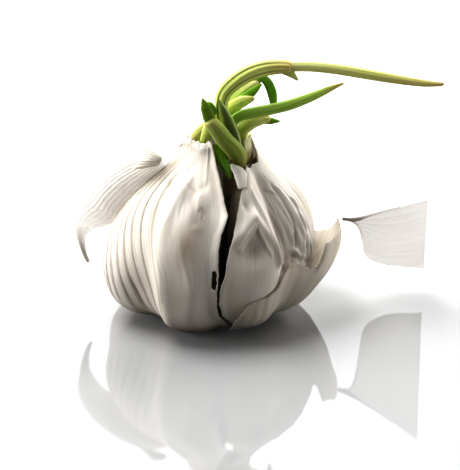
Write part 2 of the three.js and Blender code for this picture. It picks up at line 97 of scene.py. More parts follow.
def curveThrough(points, samples=60):  # a smooth line through the points, read evenly by its length
    knots = np.array(points, float)
    held = np.vstack([2 * knots[0] - knots[1], knots, 2 * knots[-1] - knots[-2]])
    gaps = np.sqrt(np.linalg.norm(np.diff(held, axis=0), axis=1))
    t = np.linspace(0, 1, samples, endpoint=False)[:, None]
    line = []
    for i in range(len(knots) - 1):
        a, b, c, d = held[i:i + 4]
        before, here, after = gaps[i:i + 3]
        leave = ((b - a) / before - (c - a) / (before + here) + (c - b) / here) * here
        arrive = ((c - b) / here - (d - b) / (here + after) + (d - c) / after) * here
        bend = 3 * (c - b) - 2 * leave - arrive
        turn = 2 * (b - c) + leave + arrive
        line.append(b + leave * t + bend * t ** 2 + turn * t ** 3)
    line = np.vstack(line + [knots[-1:]])
    travelled = np.concatenate([[0], np.cumsum(np.linalg.norm(np.diff(line, axis=0), axis=1))])
    return line, travelled


def pointAt(curve, share):
    line, travelled = curve
    gone = np.asarray(share) * travelled[-1]
    return np.stack([np.interp(gone, travelled, line[:, k]) for k in range(3)], -1)


def headingAt(curve, share):
    share = np.asarray(share)
    ahead = pointAt(curve, np.minimum(share + 0.004, 1)) - pointAt(curve, np.maximum(share - 0.004, 0))
    return ahead / np.linalg.norm(ahead, axis=-1, keepdims=True)


def unit(vectors):
    return vectors / np.maximum(np.linalg.norm(vectors, axis=-1, keepdims=True), 1e-9)


# The bulb's lobed surface: bearing in degrees, station 0 to 1 up the profile, proud outside the skin
profile = curveThrough(bulb["profile"])
cloveRows = np.array(bulb["cloves"] + [bulb["cloves"][0]], float)
cloveRows[-1, 0] += 360


def heightAt(station):
    return pointAt(profile, station)[..., 1]


def stationAtHeight(height):
    line, travelled = profile
    rising = travelled > 0.12 * travelled[-1]
    return np.interp(height, line[rising, 1], travelled[rising] / travelled[-1])


def bulbPoint(bearing, station, proud):
    bearing, station, proud = np.broadcast_arrays(bearing, station, proud)
    turned = (bearing - cloveRows[0, 0]) % 360 + cloveRows[0, 0]
    i = np.clip(np.searchsorted(cloveRows[:, 0], turned, side="right") - 1, 0, len(cloveRows) - 2)
    share = (turned - cloveRows[i, 0]) / (cloveRows[i + 1, 0] - cloveRows[i, 0])
    swell = mix(cloveRows[i, 1], cloveRows[i + 1, 1], smooth(share))
    lift = mix(cloveRows[i, 2], cloveRows[i + 1, 2], smooth(share))
    furrow = cloveRows[i, 3] * np.sin(np.pi * share) ** 2.5
    rib = pointAt(profile, station)
    heading = headingAt(profile, station)
    low = 1 - smooth(rib[..., 1] / bulb["underside"])
    body = smooth((bulb["lobesEnd"] - rib[..., 1]) / bulb["lobesGrow"])
    furrow = furrow * (0.8 + 0.7 * low) * (0.2 + 0.8 * body)
    radius = (rib[..., 0] + swell * body + proud * heading[..., 1]) * (1 - furrow)
    lean = bulb["neckLean"] * (rib[..., 1] / bulb["neckHeight"]) ** 2
    turn = np.radians(bearing)
    height = rib[..., 1] - proud * heading[..., 0] + lift * low
    return np.stack([lean + radius * np.sin(turn), -radius * np.cos(turn), height], -1)


def bearingOfX(x, station):
    rib = pointAt(profile, station)
    lean = bulb["neckLean"] * (rib[..., 1] / bulb["neckHeight"]) ** 2
    return np.degrees(np.arcsin((x - lean) / rib[..., 0]))


degreeAtBelly = 0.48  # mm of skin for one degree of bearing
darkestAgeAndShade = 0.85  # ages and painted shade run from 0, fresh and pale, to this at the driest and brownest, and in the deepest painted shade


def ridge(bearing, height, line, width, rise):  # a raised line, or a groove where rise is negative
    across = bearing * degreeAtBelly
    nearest = np.full(np.shape(across), 1e9)
    for (b0, h0), (b1, h1) in zip(line, line[1:]):
        x0, x1 = b0 * degreeAtBelly, b1 * degreeAtBelly
        share = ((across - x0) * (x1 - x0) + (height - h0) * (h1 - h0)) / ((x1 - x0) ** 2 + (h1 - h0) ** 2)
        share = np.clip(share, 0, 1)
        away = np.hypot(across - mix(x0, x1, share), height - mix(h0, h1, share))
        nearest = np.minimum(nearest, away)
    return rise * np.exp(-(nearest / width) ** 2)


def dent(bearing, height, at, size, rise):  # a soft hollow or boss, size across and up in mm
    across = (bearing - at[0]) * degreeAtBelly / size[0]
    up = (height - at[1]) / size[1]
    return rise * np.exp(-across ** 2 - up ** 2)


def summed(bearing, height, spots, lines):  # all of a skin's soft spots and lines together
    total = np.zeros(np.shape(bearing))
    for at, size, depth in spots:
        total = total + dent(bearing, height, at, size, depth)
    for line, width, depth in lines:
        total = total + ridge(bearing, height, line, width, depth)
    return total


def ribs(position, lines, power):  # rounded ribs: 0 in the crease on a line and 1 on the crown
    edges = np.array(lines, float)
    i = np.clip(np.searchsorted(edges, position, side="right") - 1, 0, len(edges) - 2)
    share = np.clip((position - edges[i]) / (edges[i + 1] - edges[i]), 0, 1)
    return 1 - np.abs(2 * share - 1) ** power, share, i


def evenRib(position):  # the same, with a crease at every whole number
    return 1 - (2 * (position % 1) - 1) ** 2


# Meshes
def newMesh(name, bm, material, thickness=None):
    mesh = bpy.data.meshes.new(name)
    bm.to_mesh(mesh)
    bm.free()
    mesh.shade_smooth()
    piece = bpy.data.objects.new(name, mesh)
    bpy.context.scene.collection.objects.link(piece)
    for finish in material if isinstance(material, list) else [material]:
        mesh.materials.append(finish)
    if thickness:
        wall = piece.modifiers.new("skin", "SOLIDIFY")
        wall.thickness = thickness * mm
        wall.offset = -1
        wall.use_rim = True
    return piece


def dress(piece, slotName, *nodes):
    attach(piece, "root")
    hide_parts(*nodes)
    return piece


def addGrid(bm, surface, columns, rows, reach, ageAndShade=None, slotIndex=0, cut=None, closed=False, veil=None):
    # a sheet shaped by surface(u, v), reach mm across and along, with its age and painted shade, veil and
    # hole by u and v too
    maps = bm.loops.layers.uv
    grain = maps.get("grain") or maps.new("grain")  # mm across and along the fibres
    shares = bm.verts.layers.float
    agedAndShaded = shares.get("ageAndShade") or shares.new("ageAndShade")  # 0 fresh to 1 dry and brown; it carries painted shade as well
    veiled = shares.get("veil") or shares.new("veil")  # share of the light that passes straight through
    known = set(bm.faces)
    made = bmesh.ops.create_grid(bm, x_segments=columns, y_segments=rows, size=0.5)["verts"]
    u = np.array([vert.co.x for vert in made]) + 0.5
    v = np.array([vert.co.y for vert in made]) + 0.5
    places = surface(u, v) * mm
    none = np.zeros(len(made))
    agesAndShade = none if ageAndShade is None else none + ageAndShade(u, v)
    veils = none if veil is None else none + veil(u, v)
    spot = {vert: (u[i] * reach[0], v[i] * reach[1]) for i, vert in enumerate(made)}
    faces = [face for face in bm.faces if face not in known]
    for face in faces:
        face.material_index = slotIndex
        for loop in face.loops:
            loop[grain].uv = spot[loop.vert]
    for vert, place, shade, sheer in zip(made, places, agesAndShade, veils):
        vert.co = place
        vert[agedAndShaded] = shade
        vert[veiled] = sheer
    if cut is not None:
        gone = cut(u, v)
        bmesh.ops.delete(bm, geom=[vert for vert, away in zip(made, gone) if away], context="VERTS")
    if closed:
        bmesh.ops.remove_doubles(bm, verts=made, dist=0.004 * mm)
        shell = [face for face in bm.faces if face not in known]
        bmesh.ops.recalc_face_normals(bm, faces=shell)


towardsViewer = (0, -1, 0.2)  # which way a stem's or blade's face turns


def roundEnd(distance, capLength):  # 0 at a stem's very end to 1 where its round cap is full
    return np.sqrt(1 - (1 - np.clip(distance / capLength, 0, 1)) ** 2)


def addStem(bm, look):
    # a stem along a route: radii are spread evenly along it, both ends close in a round cap
    path = curveThrough(look["route"])
    length = path[1][-1]
    capLength = 0.9
    fluteCount = 9
    fluteDepth = 0.045
    creaseWidth = 0.02
    stepLength = 0.35

    def surface(u, v):
        centre = pointAt(path, v)
        forward = headingAt(path, v)
        side = unit(np.cross(towardsViewer, forward))
        up = np.cross(forward, side)
        radius = evenly(look["radii"], v)
        ends = roundEnd(v * length, capLength) * roundEnd((1 - v) * length, capLength)
        turn = 2 * np.pi * u
        flute = 1 + fluteDepth * np.cos(fluteCount * turn + 1.1 * np.sin(3 * v * np.pi))
        if "crease" in look:
            pastCrease = (u - look["crease"]["at"]) % 1
            flute = flute - look["crease"]["depth"] * np.exp(-(pastCrease / creaseWidth) ** 2)
        reach = (radius * ends * flute)[:, None]
        flat = look.get("flatness", 1)
        return centre + side * reach * np.cos(turn)[:, None] + up * reach * flat * np.sin(turn)[:, None]

    # painted shade along the grooves
    def grooveShade(u, v):
        depth = np.zeros(len(u))
        for at, width in look.get("shadedGrooves", []):
            depth = depth + np.exp(-((u - at) / width) ** 2)
        return darkestAgeAndShade * depth * eased(v, 1, 0.8)

    # across the UV runs the girth in mm, along it runs 0 to 1 from root to tip
    sides = look.get("sides", 28)
    rows = int(length / stepLength)
    girth = 2 * np.pi * max(look["radii"])
    addGrid(bm, surface, sides, rows, (girth, 1), grooveShade, slotIndex=look.get("finish", 0), closed=True)


def acrossBlade(u):  # -1 to 1 over the face, then back again behind it
    return np.where(u < 0.5, 4 * u - 1, 3 - 4 * u)


def addBlade(bm, look):
    # a leaf blade: a crescent section whose two faces meet at thin edges
    path = curveThrough(look["route"])
    curl = look["curl"]
    thickness = 0.55
    veinRise = 0.04
    stepLength = 0.35

    def surface(u, v):
        centre = pointAt(path, v)
        forward = headingAt(path, v)
        side = unit(np.cross(look.get("facing", towardsViewer), forward))
        toward = np.cross(forward, side)
        across = acrossBlade(u)
        half = evenly(look["halfWidths"], v)
        radius = half / math.sin(curl)
        bend = across * curl
        vein = veinRise * np.cos(9 * across)
        wall = thickness * np.sqrt(np.clip(1 - across ** 2, 0, 1)) * np.minimum(1, half)
        inner = radius - np.where(u < 0.5, 0, wall)
        place = centre + side * (inner * np.sin(bend))[:, None]
        return place - toward * (radius - inner * np.cos(bend) + vein)[:, None]

    def channelShade(u, v):  # painted shade in the hollow between the pale edges
        ends = smooth(v / 0.2) * eased(v, 1, 0.8)
        return look.get("channelShade", 0) * np.exp(-((acrossBlade(u) - 0.15) / 0.5) ** 4) * ends

    rows = int(path[1][-1] / stepLength)
    addGrid(bm, surface, 32, rows, (2 * max(look["halfWidths"]), 1), channelShade,
            slotIndex=look.get("finish", 0), closed=True)


# Materials
def linear(code):  # an sRGB hex colour as linear numbers
    parts = [int(code[i:i + 2], 16) / 255 for i in (1, 3, 5)]
    return [p / 12.92 if p <= 0.04045 else ((p + 0.055) / 1.055) ** 2.4 for p in parts] + [1]


def addNode(tree, kind, fixed, links=()):
    made = tree.nodes.new(kind)
    for name, value in fixed.items():
        if isinstance(name, str) and name in made.bl_rna.properties:
            setattr(made, name, value)
        else:
            made.inputs[name].default_value = value
    for socket, name in links:
        tree.links.new(socket, made.inputs[name])
    return made


def newMaterial(name):
    material = bpy.data.materials.new(name)
    material.use_nodes = True
    material.node_tree.nodes.clear()
    return material, material.node_tree


def thinLeafShader(tree, look, colour, streaks, bump):
    # a satin face, rougher between the fibres, mixed with the light that comes through the leaf
    gloss = addNode(tree, "ShaderNodeMapRange", {"To Min": look["roughness"] - look["smoother"],
                                                 "To Max": look["roughness"] + look["rougher"]},
                    [(streaks.outputs["Fac"], "Value")])
    face = addNode(tree, "ShaderNodeBsdfPrincipled",
                   {"IOR": look["ior"], "Specular IOR Level": look["shine"]},
                   [(colour.outputs[2], "Base Color"), (gloss.outputs[0], "Roughness"),
                    (bump.outputs[0], "Normal")])
    through = addNode(tree, "ShaderNodeBsdfTranslucent", {},
                      [(colour.outputs[2], "Color"), (bump.outputs[0], "Normal")])
    return addNode(tree, "ShaderNodeMixShader", {0: look["glow"]},
                   [(face.outputs[0], 1), (through.outputs[0], 2)])


def paperFinish(name, look):
    # dried outer leaf of the bulb: a thin papery film with long fibres, satin where it is drawn tight
    material, tree = newMaterial(name)
    grain = addNode(tree, "ShaderNodeUVMap", {"uv_map": "grain"}).outputs["UV"]
    spots = addNode(tree, "ShaderNodeTexCoord", {}).outputs["Object"]
    agedAndShaded = addNode(tree, "ShaderNodeAttribute", {"attribute_name": "ageAndShade"}).outputs["Fac"]
    fibreScale = (1 / look["fibreGap"], 1 / look["fibreLength"], 1)
    veinScale = (1 / look["veinGap"], 1 / (2.5 * look["fibreLength"]), 1)
    fibreMap = addNode(tree, "ShaderNodeMapping", {"Scale": fibreScale}, [(grain, "Vector")])
    veinMap = addNode(tree, "ShaderNodeMapping", {"Scale": veinScale}, [(grain, "Vector")])
    fibres = addNode(tree, "ShaderNodeTexNoise", {"Scale": 1, "Detail": 4, "Roughness": 0.6},
                     [(fibreMap.outputs["Vector"], "Vector")])
    veins = addNode(tree, "ShaderNodeTexNoise", {"Scale": 1, "Detail": 2, "Roughness": 0.5},
                    [(veinMap.outputs["Vector"], "Vector")])
    clouds = addNode(tree, "ShaderNodeTexNoise", {"Scale": 1 / (look["cloudSize"] * mm), "Detail": 3},
                     [(spots, "Vector")])
    veinLine = addNode(tree, "ShaderNodeMapRange", {"From Min": 0.54, "From Max": 0.70},
                       [(veins.outputs["Fac"], "Value")])
    cloudShare = addNode(tree, "ShaderNodeMapRange", {"From Min": 0.40, "From Max": 0.72, "To Max": 0.6},
                         [(clouds.outputs["Fac"], "Value")])
    ground = addNode(tree, "ShaderNodeMix", {"data_type": "RGBA", 6: linear(look["pale"]),
                                             7: linear(look["warm"])}, [(cloudShare.outputs[0], 0)])
    veinShare = addNode(tree, "ShaderNodeMath", {"operation": "MULTIPLY", 1: look["veinShow"]},
                        [(veinLine.outputs[0], 0)])
    veined = addNode(tree, "ShaderNodeMix", {"data_type": "RGBA", 7: linear(look["vein"])},
                     [(veinShare.outputs[0], 0), (ground.outputs[2], 6)])
    # the attribute mixes in the dry colour: brown for dried skin, and painted shade where it carries shade
    colour = addNode(tree, "ShaderNodeMix", {"data_type": "RGBA", 7: linear(look["dry"])},
                     [(agedAndShaded, 0), (veined.outputs[2], 6)])
    fibreBump = addNode(tree, "ShaderNodeBump", {"Strength": look["bump"], "Distance": 0.1 * mm},
                        [(fibres.outputs["Fac"], "Height")])
    bump = addNode(tree, "ShaderNodeBump", {"Strength": look["bump"], "Distance": 0.06 * mm},
                   [(veins.outputs["Fac"], "Height"), (fibreBump.outputs[0], "Normal")])
    film = thinLeafShader(tree, look, colour, fibres, bump)
    if look["sheer"]:
        veil = addNode(tree, "ShaderNodeAttribute", {"attribute_name": "veil"}).outputs["Fac"]
        clear = addNode(tree, "ShaderNodeBsdfTransparent", {})
        film = addNode(tree, "ShaderNodeMixShader", {},
                       [(veil, 0), (film.outputs[0], 1), (clear.outputs[0], 2)])
    addNode(tree, "ShaderNodeOutputMaterial", {}, [(film.outputs[0], "Surface")])
    return material


def leafFinish(name, look):
    # waxy living leaf or sheath: colour runs from root to tip, with fine lengthwise streaks and painted
    # shade in its grooves and hollows
    material, tree = newMaterial(name)
    grain = addNode(tree, "ShaderNodeUVMap", {"uv_map": "grain"}).outputs["UV"]
    split = addNode(tree, "ShaderNodeSeparateXYZ", {}, [(grain, "Vector")])
    ramp = addNode(tree, "ShaderNodeValToRGB", {}, [(split.outputs["Y"], "Fac")])
    stops = ramp.color_ramp.elements
    while len(stops) < len(look["stops"]):
        stops.new(0.5)
    for stop, (place, code) in zip(stops, look["stops"]):
        stop.position = place
        stop.color = linear(code)
    streakScale = (1 / look["streakGap"], look["streakRuns"], 1)
    streakMap = addNode(tree, "ShaderNodeMapping", {"Scale": streakScale}, [(grain, "Vector")])
    streaks = addNode(tree, "ShaderNodeTexNoise", {"Scale": 1, "Detail": 4, "Roughness": 0.65},
                      [(streakMap.outputs[0], "Vector")])
    streakShare = addNode(tree, "ShaderNodeMapRange", {"From Min": 0.42, "From Max": 0.68,
                                                       "To Max": look["streakShow"]},
                          [(streaks.outputs["Fac"], "Value")])
    streaked = addNode(tree, "ShaderNodeMix", {"data_type": "RGBA", 7: linear(look["streak"])},
                       [(streakShare.outputs[0], 0), (ramp.outputs["Color"], 6)])
    # painted shade in grooves and hollows, read from the same attribute as the browns
    grooveShade = addNode(tree, "ShaderNodeAttribute", {"attribute_name": "ageAndShade"}).outputs["Fac"]
    colour = addNode(tree, "ShaderNodeMix", {"data_type": "RGBA", 7: linear(look["grooveShadeColour"])},
                     [(grooveShade, 0), (streaked.outputs[2], 6)])
    bump = addNode(tree, "ShaderNodeBump", {"Strength": 0.35, "Distance": 0.12 * mm},
                   [(streaks.outputs["Fac"], "Height")])
    blade = thinLeafShader(tree, look, colour, streaks, bump)
    addNode(tree, "ShaderNodeOutputMaterial", {}, [(blade.outputs[0], "Surface")])
    return material


def solidFinish(name, look):
    # a dense dull body, such as a clove's hard skin or the corky disc: mottled, with a fine grain
    material, tree = newMaterial(name)
    spots = addNode(tree, "ShaderNodeTexCoord", {}).outputs["Object"]
    blotches = addNode(tree, "ShaderNodeTexNoise", {"Scale": 1 / (look["blotch"] * mm), "Detail": 5},
                       [(spots, "Vector")])
    grit = addNode(tree, "ShaderNodeTexNoise", {"Scale": 1 / (look["grit"] * mm), "Detail": 3},
                   [(spots, "Vector")])
    share = addNode(tree, "ShaderNodeMapRange", {"From Min": 0.35, "From Max": 0.65},
                    [(blotches.outputs["Fac"], "Value")])
    colour = addNode(tree, "ShaderNodeMix", {"data_type": "RGBA", 6: linear(look["light"]),
                                             7: linear(look["dark"])}, [(share.outputs[0], 0)])
    bump = addNode(tree, "ShaderNodeBump", {"Strength": look["bump"], "Distance": 0.3 * mm},
                   [(grit.outputs["Fac"], "Height")])
    face = addNode(tree, "ShaderNodeBsdfPrincipled", {"Roughness": look["roughness"], "IOR": 1.45},
                   [(colour.outputs[2], "Base Color"), (bump.outputs[0], "Normal")])
    addNode(tree, "ShaderNodeOutputMaterial", {}, [(face.outputs[0], "Surface")])
    return material


# the dry colour is both the brown of dried skin and the colour of its painted shade
paperLook = {
    "pale": "#f0ebe3", "warm": "#e5dccd", "vein": "#c4b7a3", "dry": "#857662",
    "fibreGap": 0.35, "fibreLength": 9, "veinGap": 0.6, "veinShow": 0.3, "cloudSize": 11, "bump": 0.35,
    "ior": 1.45, "shine": 0.12, "roughness": 0.45, "smoother": 0.08, "rougher": 0.14, "glow": 0.22,
    "sheer": False,
}
thinLook = dict(paperLook, pale="#f8f6f3", warm="#f0ece7", vein="#d8cfc4", dry="#a08f7f",
                glow=0.45, roughness=0.6, sheer=True)
flapLook = dict(thinLook, pale="#e0dcd8", warm="#d8d2cb", vein="#c2b9ae", dry="#857c72")
beigeLook = dict(paperLook, pale="#e4dfb9", warm="#c8c193", vein="#a39a6c", dry="#968850", glow=0.3)
cupLook = dict(paperLook, pale="#f2eee6", glow=0.45)
paperSkin = paperFinish("driedPaperySkin", paperLook)  # satin cream-white with long soft veins
thinSkin = paperFinish("filmySkin", thinLook)  # lets the back light through, so it is nearly white
shadedFlapSkin = paperFinish("paintedShadeFilmySkin", flapLook)  # painted shade: the same film made greyer, with a dark rolled edge
beigeSkin = paperFinish("dryNeckSkin", beigeLook)  # straw coloured and duller, with darker strands
cupSkin = paperFinish("shortCupSkin", cupLook)  # lit through from behind
cloveSkin = solidFinish("hardCloveSkin", {  # glossy brown-grey coat of the clove, seen in the split
    "light": "#988b78", "dark": "#665b4b", "blotch": 4, "grit": 0.6, "roughness": 0.38, "bump": 0.15})
corkyDisc = solidFinish("corkyRootDisc", {  # dull dry cork with root scars
    "light": "#a58f68", "dark": "#6d5a3c", "blotch": 1.5, "grit": 0.4, "roughness": 0.9, "bump": 0.7})
print("materials ready")


# Left wrapper skin: pleats fan from the place near the neck where it is gathered
leftSkin = {
    "backEdge": -195,
    "frontEdge": 6,  # near enough for the rim; the split edge itself is the bulb's
    "foot": (0.06, 0.03),  # station on the profile where the skin starts, at the back and in front
    "rimHeight": 43.2,
    "neckRise": 3.8,  # the rim stands this much higher in front, round the neck
    "gatherBearing": -75,
    "gatherSpread": 56,
    "seamLift": 1.15,
    "hole": {"at": (1.0, 17.8), "size": (1.2, 2.3)},
    "pleats": [-195, -188, -181, -174, -167.5, -160, -153, -146.5, -139, -132, -126, -119, -112.5, -106,
               -99, -93, -87, -81.5, -76, -70.5, -65, -59.5, -53.5, -47.5, -41.5, -35, -27.5, 20],
    "pleatRise": 0.32,
    "fineRibs": {"perDegree": 0.55, "rise": 0.12},
    "rippleRise": 0.025,
    "edgeLift": 0.45,
    "rimLift": 0.45,
    "rimTuck": 0.8,
    "gather": {"at": (-66, 38.6), "size": (5, 2.6)},
    "brownAndShade": {"crease": 0.6, "finer": 0.3, "rim": 0.16, "edge": 0.3, "foot": 0.75},  # browns of its parts; the crease lines are partly painted shade, and the foot is painted shade under the belly
    "forms": [  # raised lines and grooves: bearing and height of the line, width, rise
        ([(-30, 37), (-33, 32), (-32, 27), (-29, 22), (-27, 17), (-26, 11), (-25, 6)], 2.4, 1.1),
        ([(-22, 33), (-20, 27), (-17, 20), (-15, 12)], 3.0, -0.3),
        ([(-4, 33), (-2.5, 29), (-2, 22), (-3, 14), (-4, 8)], 2.4, -0.5),
        ([(-34, 38.2), (-25, 37.7), (-17, 37.0), (-9.5, 38.0)], 0.9, -0.28),
        ([(-35, 36.4), (-24, 36.0), (-14, 35.8)], 1.3, 0.25),
        ([(-30, 41.5), (-22, 43), (-12, 43)], 2.2, -0.2),
        ([(-16, 45), (-13, 41), (-10, 38.5)], 0.8, 0.15),
        ([(-19, 36), (-14.5, 34.3), (-13, 31.5)], 1.3, -0.3),
        ([(-27, 39), (-26, 33), (-22, 28)], 0.6, 0.12),
        ([(-23, 34), (-19, 27), (-14, 21), (-10, 15)], 0.5, 0.1),
        ([(-47.5, 11), (-48.5, 8), (-49, 5), (-49, 2)], 2.4, -0.4),
        ([(-60, 16), (-62, 10), (-60, 4)], 1.8, -0.2),
    ],
    "bosses": [  # bearing and height, size across and up, rise
        ((-9.5, 32.6), (1.2, 1.4), -0.35), ((-9.5, 32.6), (0.5, 0.6), 0.3),
        ((-12.5, 34.4), (0.8, 0.6), 0.2), ((8, 31.2), (2.0, 1.8), 0.6),
        ((-95, 18), (18, 12), 0.6), ((-43, 23), (5, 12), 1.3), ((-50, 15), (5, 6), 0.7),
    ],
    "paintedShadeSpots": [  # painted shade: soft darker patches where the skin lies in shade
        ((-15, 26), (3.8, 6), 0.85), ((-20, 14), (3.4, 6), 0.1), ((-10, 33), (2.8, 2.4), 0.4),
        ((-12, 3), (9, 4.0), 0.4),
        ((-9.5, 29.6), (2.0, 1.0), 0.22), ((-29, 36.6), (2.0, 0.9), 0.15),
        ((-37.5, 40.6), (0.35, 0.8), 0.8), ((-16, 45.4), (4.5, 1.3), 0.18), ((-58, 43.5), (7, 3), 0.35),
        ((-20, 42), (8, 3), 0.1),
    ],
    # painted shadow lines along folds and creases
    "paintedShadeLines": [
        ([(-51.5, 38.1), (-41, 35.1), (-36.5, 31.2), (-34, 27), (-30.5, 23), (-26, 18.8), (-25, 11.9)],
         0.35, 0.3),
        ([(-34, 38.2), (-25, 37.7), (-17, 37.0)], 0.3, 0.22),
        ([(-12, 33.6), (-9.6, 34.2), (-7.5, 33.2)], 0.2, 0.25),
        ([(-13, 31.6), (-9.6, 30.9), (-6.5, 31.8)], 0.2, 0.2),
        ([(-47.5, 15), (-48.5, 10), (-49, 5)], 0.6, 0.25),
    ],
    "thickness": 0.28,
    "columns": 400,
    "rows": 122,
    "reach": (92, 62),
}


def leftRough(u):  # bearing before the skin is gathered and torn
    return mix(leftSkin["backEdge"], leftSkin["frontEdge"], u)


def leftRim(u):
    neckRise = leftSkin["neckRise"] * smooth((leftRough(u) + 95) / 40)
    return leftSkin["rimHeight"] + neckRise + 0.6 * ragged(leftRough(u) * 0.4, 0.4)


def leftBearings(u, height):  # with the pleats evenly spread, then gathered, and how firmly they are held
    splitEdge = bearingOfX(along(bulb["splitLeftEdge"], height), stationAtHeight(height))
    splitEdge = splitEdge + 0.35 * ragged(height * 2.3, 0.7)
    even = mix(leftSkin["backEdge"] + 3 * ragged(height, 2), splitEdge, u)
    off = (even - leftSkin["gatherBearing"]) / leftSkin["gatherSpread"]
    pull = 0.93 * eased(height, 12, 39) * (1 - 0.55 * eased(height, 41, 46))
    held = pull * np.exp(-off * off) * eased(even, 4, -26)
    return even, even - held * off * leftSkin["gatherSpread"], held


def leftStation(u, v):
    foot = mix(*leftSkin["foot"], u) + 0.012 * ragged(leftRough(u), 1.3)
    return mix(foot, stationAtHeight(leftRim(u)), v)


def leftSkinPlace(u, v):
    station = leftStation(u, v)
    height = heightAt(station)
    even, bearing, held = leftBearings(u, height)
    _, share, pleat = ribs(even, leftSkin["pleats"], 2)
    crown = np.sin(np.pi * share ** 2.4) ** 0.8  # each pleat leans over the one behind it
    belly = eased(even, -36, -24)  # the front clove stretches its skin smooth
    calm = eased(height, 37, 41) * eased(bearing, -112, -87)  # the neck is drawn smooth
    strength = leftSkin["pleatRise"] * (1 - belly) * eased(height, 1.5, 8.5) * (1 - 0.6 * held)
    uneven = 0.75 + 0.25 * np.sin(2.3 * pleat + 0.4)
    proud = strength * (1 - 0.92 * calm) * uneven * (crown - 0.5)
    high = eased(height, 22, 34) * (1 - eased(height, 43, 46))
    fine = leftSkin["fineRibs"]["rise"] * (evenRib(even * leftSkin["fineRibs"]["perDegree"]) - 0.5)
    proud = proud + fine * high * (1 - 0.8 * belly) * (1 - calm)
    ripple = leftSkin["rippleRise"] * np.sin(even * 2.9 + 0.2 * height) * eased(height, 4, 12)
    proud = proud + ripple * (1 - calm) * (1 - belly)
    proud = proud + summed(bearing, height, leftSkin["bosses"], leftSkin["forms"])
    proud = proud + leftSkin["edgeLift"] * eased(u, 0.972, 1)
    rim = smooth((height - leftRim(u) + 3) / 3)
    proud = proud + rim * (leftSkin["rimLift"] + 0.15 * ragged(even * 0.9, 0.9))
    proud = proud - leftSkin["rimTuck"] * eased(v, 0.975, 1)
    proud = proud + leftSkin["seamLift"] * eased(even, -163, -177)
    return bulbPoint(bearing, station, proud)


# browns of the skin, with painted shade in its creases, at its foot and in soft patches and lines
def leftSkinAgeAndShade(u, v):
    brownAndShade = leftSkin["brownAndShade"]
    height = heightAt(leftStation(u, v))
    even, bearing, _ = leftBearings(u, height)
    _, share, _ = ribs(even, leftSkin["pleats"], 2)
    pleated = (1 - eased(even, -30, -22)) * eased(height, 2, 10)
    # crease and finer lines: partly the brown of folded skin, partly painted shade in the folds
    crease = np.exp(-(np.minimum(share, 1 - share) / 0.05) ** 2)
    thirds = (share * 3 + 0.3 * np.sin(even)) % 1
    finer = np.exp(-((thirds - 0.5) / 0.1) ** 2)  # three finer lines on each pleat
    fineCrease = 1 - evenRib(even * leftSkin["fineRibs"]["perDegree"])
    calm = eased(height, 38, 42) * eased(bearing, -70, -58)
    line = crease * (brownAndShade["crease"] + 0.25 * eased(height, 22, 36)) + 0.1 * fineCrease ** 3
    line = (line + brownAndShade["finer"] * finer * eased(height, 10, 25)) * pleated * (1 - calm)
    gather = dent(bearing, height, leftSkin["gather"]["at"], leftSkin["gather"]["size"], 1)
    gather = gather * (0.4 + 1.2 * fineCrease ** 2)
    rim = brownAndShade["rim"] * smooth((height - leftRim(u) + 1.2) / 1.2)
    edge = brownAndShade["edge"] * eased(u, 0.988, 1)
    # painted shade at the foot, darkest under the belly
    foot = brownAndShade["foot"] * (1 - eased(height, 0.6, 5.6))
    # painted shade: the soft patches and the shadow lines
    dark = summed(bearing, height, leftSkin["paintedShadeSpots"], leftSkin["paintedShadeLines"])
    return np.clip(line + gather + rim + edge + foot + dark, 0, darkestAgeAndShade)


def leftSkinHole(u, v):  # in front, where the foot and the rim are nearly level
    rimStation = stationAtHeight(leftSkin["rimHeight"] + leftSkin["neckRise"])
    height = heightAt(mix(leftSkin["foot"][1], rimStation, v))
    _, bearing, _ = leftBearings(u, height)
    at, size = leftSkin["hole"]["at"], leftSkin["hole"]["size"]
    return ((bearing - at[0]) / size[0]) ** 2 + ((height - at[1]) / size[1]) ** 2 < 1


bm = bmesh.new()
addGrid(bm, leftSkinPlace, leftSkin["columns"], leftSkin["rows"], leftSkin["reach"], leftSkinAgeAndShade,
        cut=leftSkinHole)
dress(newMesh("leftWrapperSkin", bm, paperSkin, leftSkin["thickness"]), "paper_skin", "wrapper_left")
print("left wrapper skin")


